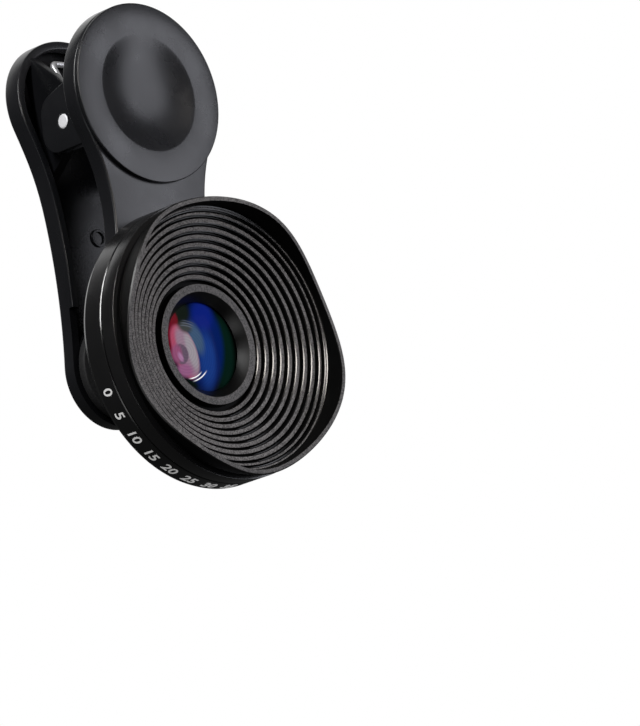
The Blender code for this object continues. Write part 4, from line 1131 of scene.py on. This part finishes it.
class OBJECT_OT_stage(bpy.types.Operator):
    """Add the floor, the backdrop, the lights and the camera"""
    bl_idname = "phone_lens.stage"
    bl_label = "Stage"

    def execute(self, context):
        settings = context.scene.stage_settings
        self.world(context, settings)
        self.floor(settings)
        self.backdrop()
        white = (1.0, 1.0, 1.0)
        for name, direction, distance, size, colour in (
            ("key", (0.65, -0.76, 0.02), 0.32, (0.128, 0.30), (0.90, 0.915, 1.0)),
            ("left", (-0.75, -0.26, 0.62), 0.8, (0.07, 0.55), white),
            ("low", (-0.72, -0.45, -0.52), 0.8, (0.35, 0.35), white),
            ("front", (-0.12, -0.95, 0.40), 0.8, (0.05, 0.26), (1.0, 0.93, 0.87)),
        ):
            self.light(name, direction, distance, size, getattr(settings, name), colour)
        self.camera(context, settings)
        return {"FINISHED"}

    def world(self, context, settings):
        """White to the camera, and a dimmer even room to everything that the object reflects or is lit by."""
        world = bpy.data.worlds.new("studio")
        world.use_nodes = True
        tree = world.node_tree
        path = tree.nodes.new("ShaderNodeLightPath").outputs
        level = ramp(tree, path["Is Diffuse Ray"], 0.0, 1.0, settings.reflected, settings.surround, False)
        feed(tree, tree.nodes["Background"].inputs["Strength"], maths(tree, "MAXIMUM", level, path["Is Camera Ray"]))
        tree.nodes["Background"].inputs["Color"].default_value = (1.0, 1.0, 1.0, 1.0)
        context.scene.world = world

    def floor(self, settings):
        """A wide floor 0.2 m below the origin, lifted to a pale tone where the camera sees it."""
        points = np.array([(-3, -3, -0.2), (3, -3, -0.2), (3, 3, -0.2), (-3, 3, -0.2)]) / MM
        floor = mesh_object("floor", points, [[0, 1, 2, 3]])
        paint = rgba(settings.floor)
        material, tree, shader = new_material("floor_paint", 0.8, Base_Color=paint, Emission_Color=paint)
        path = tree.nodes.new("ShaderNodeLightPath").outputs
        feed(tree, shader["Emission Strength"], times(tree, path["Is Camera Ray"], 0.7))
        material.cycles.emission_sampling = "NONE"
        floor.data.materials.append(material)
        floor.visible_glossy = floor.visible_diffuse = False

    def backdrop(self):
        """Part of a sphere behind the object, seen only in reflections. A point at angles u and v is at
        R (ahead cos u cos v + right sin u + up sin v cos u)."""
        radius, steps = 900.0, 25
        ahead, right = -Vector(CAMERA_BACK).normalized(), Vector(CAMERA_RIGHT).normalized()
        u, v = np.meshgrid(np.linspace(-0.95, 0.6, steps), np.linspace(-0.07, 0.7, steps), indexing="ij")
        parts = (ahead, np.cos(u) * np.cos(v)), (right, np.sin(u)), (right.cross(ahead), np.sin(v) * np.cos(u))
        points = sum(np.array(axis) * share[..., None] for axis, share in parts) * radius
        backdrop = mesh_object("backdrop", points.reshape(-1, 3), grid_faces(steps, steps))
        material = bpy.data.materials.new("backdrop_glow")
        material.use_nodes = True
        tree = material.node_tree
        tree.nodes.clear()
        glow = add(tree, "ShaderNodeEmission", Strength=1.0)
        add(tree, "ShaderNodeOutputMaterial", _0=glow.outputs[0])
        backdrop.data.materials.append(material)
        backdrop.visible_camera = backdrop.visible_diffuse = backdrop.visible_shadow = False

    def light(self, name, direction, distance, size, radiance, colour):
        """A soft rectangular light that faces the object. Its power is pi x area x the brightness of its face."""
        data = bpy.data.lights.new(name, "AREA")
        data.shape = "RECTANGLE"
        data.size, data.size_y = size
        data.energy = radiance * pi * size[0] * size[1]
        data.color = colour
        light = bpy.data.objects.new(name, data)
        towards = Vector(direction).normalized()
        light.location = towards * distance
        light.rotation_euler = towards.to_track_quat("Z", "Y").to_euler()
        bpy.context.scene.collection.objects.link(light)

    def camera(self, context, settings):
        """The camera at the photograph's viewing angle, 0.8 m away."""
        data = bpy.data.cameras.new("camera")
        data.lens = settings.focal_length
        data.sensor_width = 36.0
        data.sensor_fit = "HORIZONTAL"
        data.clip_start, data.clip_end = 0.01, 20.0
        camera = bpy.data.objects.new("camera", data)
        turn = Matrix((CAMERA_RIGHT, CAMERA_UP, CAMERA_BACK)).transposed().to_4x4()
        camera.matrix_world = Matrix.Translation(CAMERA_PLACE) @ turn
        context.scene.collection.objects.link(camera)
        context.scene.camera = camera


class VIEW3D_PT_phone_lens(bpy.types.Panel):
    """Sidebar panel that lists the pieces of the clip-on lens"""
    bl_idname = "VIEW3D_PT_phone_lens"
    bl_label = "Clip-on Phone Lens"
    bl_space_type = "VIEW_3D"
    bl_region_type = "UI"
    bl_category = "Phone Lens"

    def draw(self, context):
        column = self.layout.column(align=True)
        for operator in PIECES + (OBJECT_OT_stage,):
            column.operator(operator.bl_idname)
        for settings in (context.scene.clip_settings, context.scene.lens_settings, context.scene.stage_settings):
            box = self.layout.box()
            for name in settings.bl_rna.properties.keys():
                if name not in ("name", "rna_type"):
                    box.prop(settings, name)


PIECES = (
    OBJECT_OT_front_arm, OBJECT_OT_finger_cap, OBJECT_OT_jaw_pads, OBJECT_OT_rear_arm, OBJECT_OT_hinge_pin,
    OBJECT_OT_torsion_spring, OBJECT_OT_lens_mount, OBJECT_OT_barrel_rings, OBJECT_OT_petal_hood,
    OBJECT_OT_optics,
)
SETTINGS = (("clip_settings", ClipSettings), ("lens_settings", LensSettings), ("stage_settings", StageSettings))


def register():
    for name, group in SETTINGS:
        bpy.utils.register_class(group)
        setattr(bpy.types.Scene, name, PointerProperty(type=group))
    for cls in (*PIECES, OBJECT_OT_stage, VIEW3D_PT_phone_lens):
        bpy.utils.register_class(cls)


def unregister():
    for cls in reversed((*PIECES, OBJECT_OT_stage, VIEW3D_PT_phone_lens)):
        bpy.utils.unregister_class(cls)
    for name, group in reversed(SETTINGS):
        delattr(bpy.types.Scene, name)
        bpy.utils.unregister_class(group)


def main():
    register()
    for operator in (*PIECES, OBJECT_OT_stage):
        area, name = operator.bl_idname.split(".")
        getattr(getattr(bpy.ops, area), name)()
    bpy.context.scene.view_settings.view_transform = "Standard"
    bpy.context.view_layer.update()


if __name__ == "__main__":
    main()
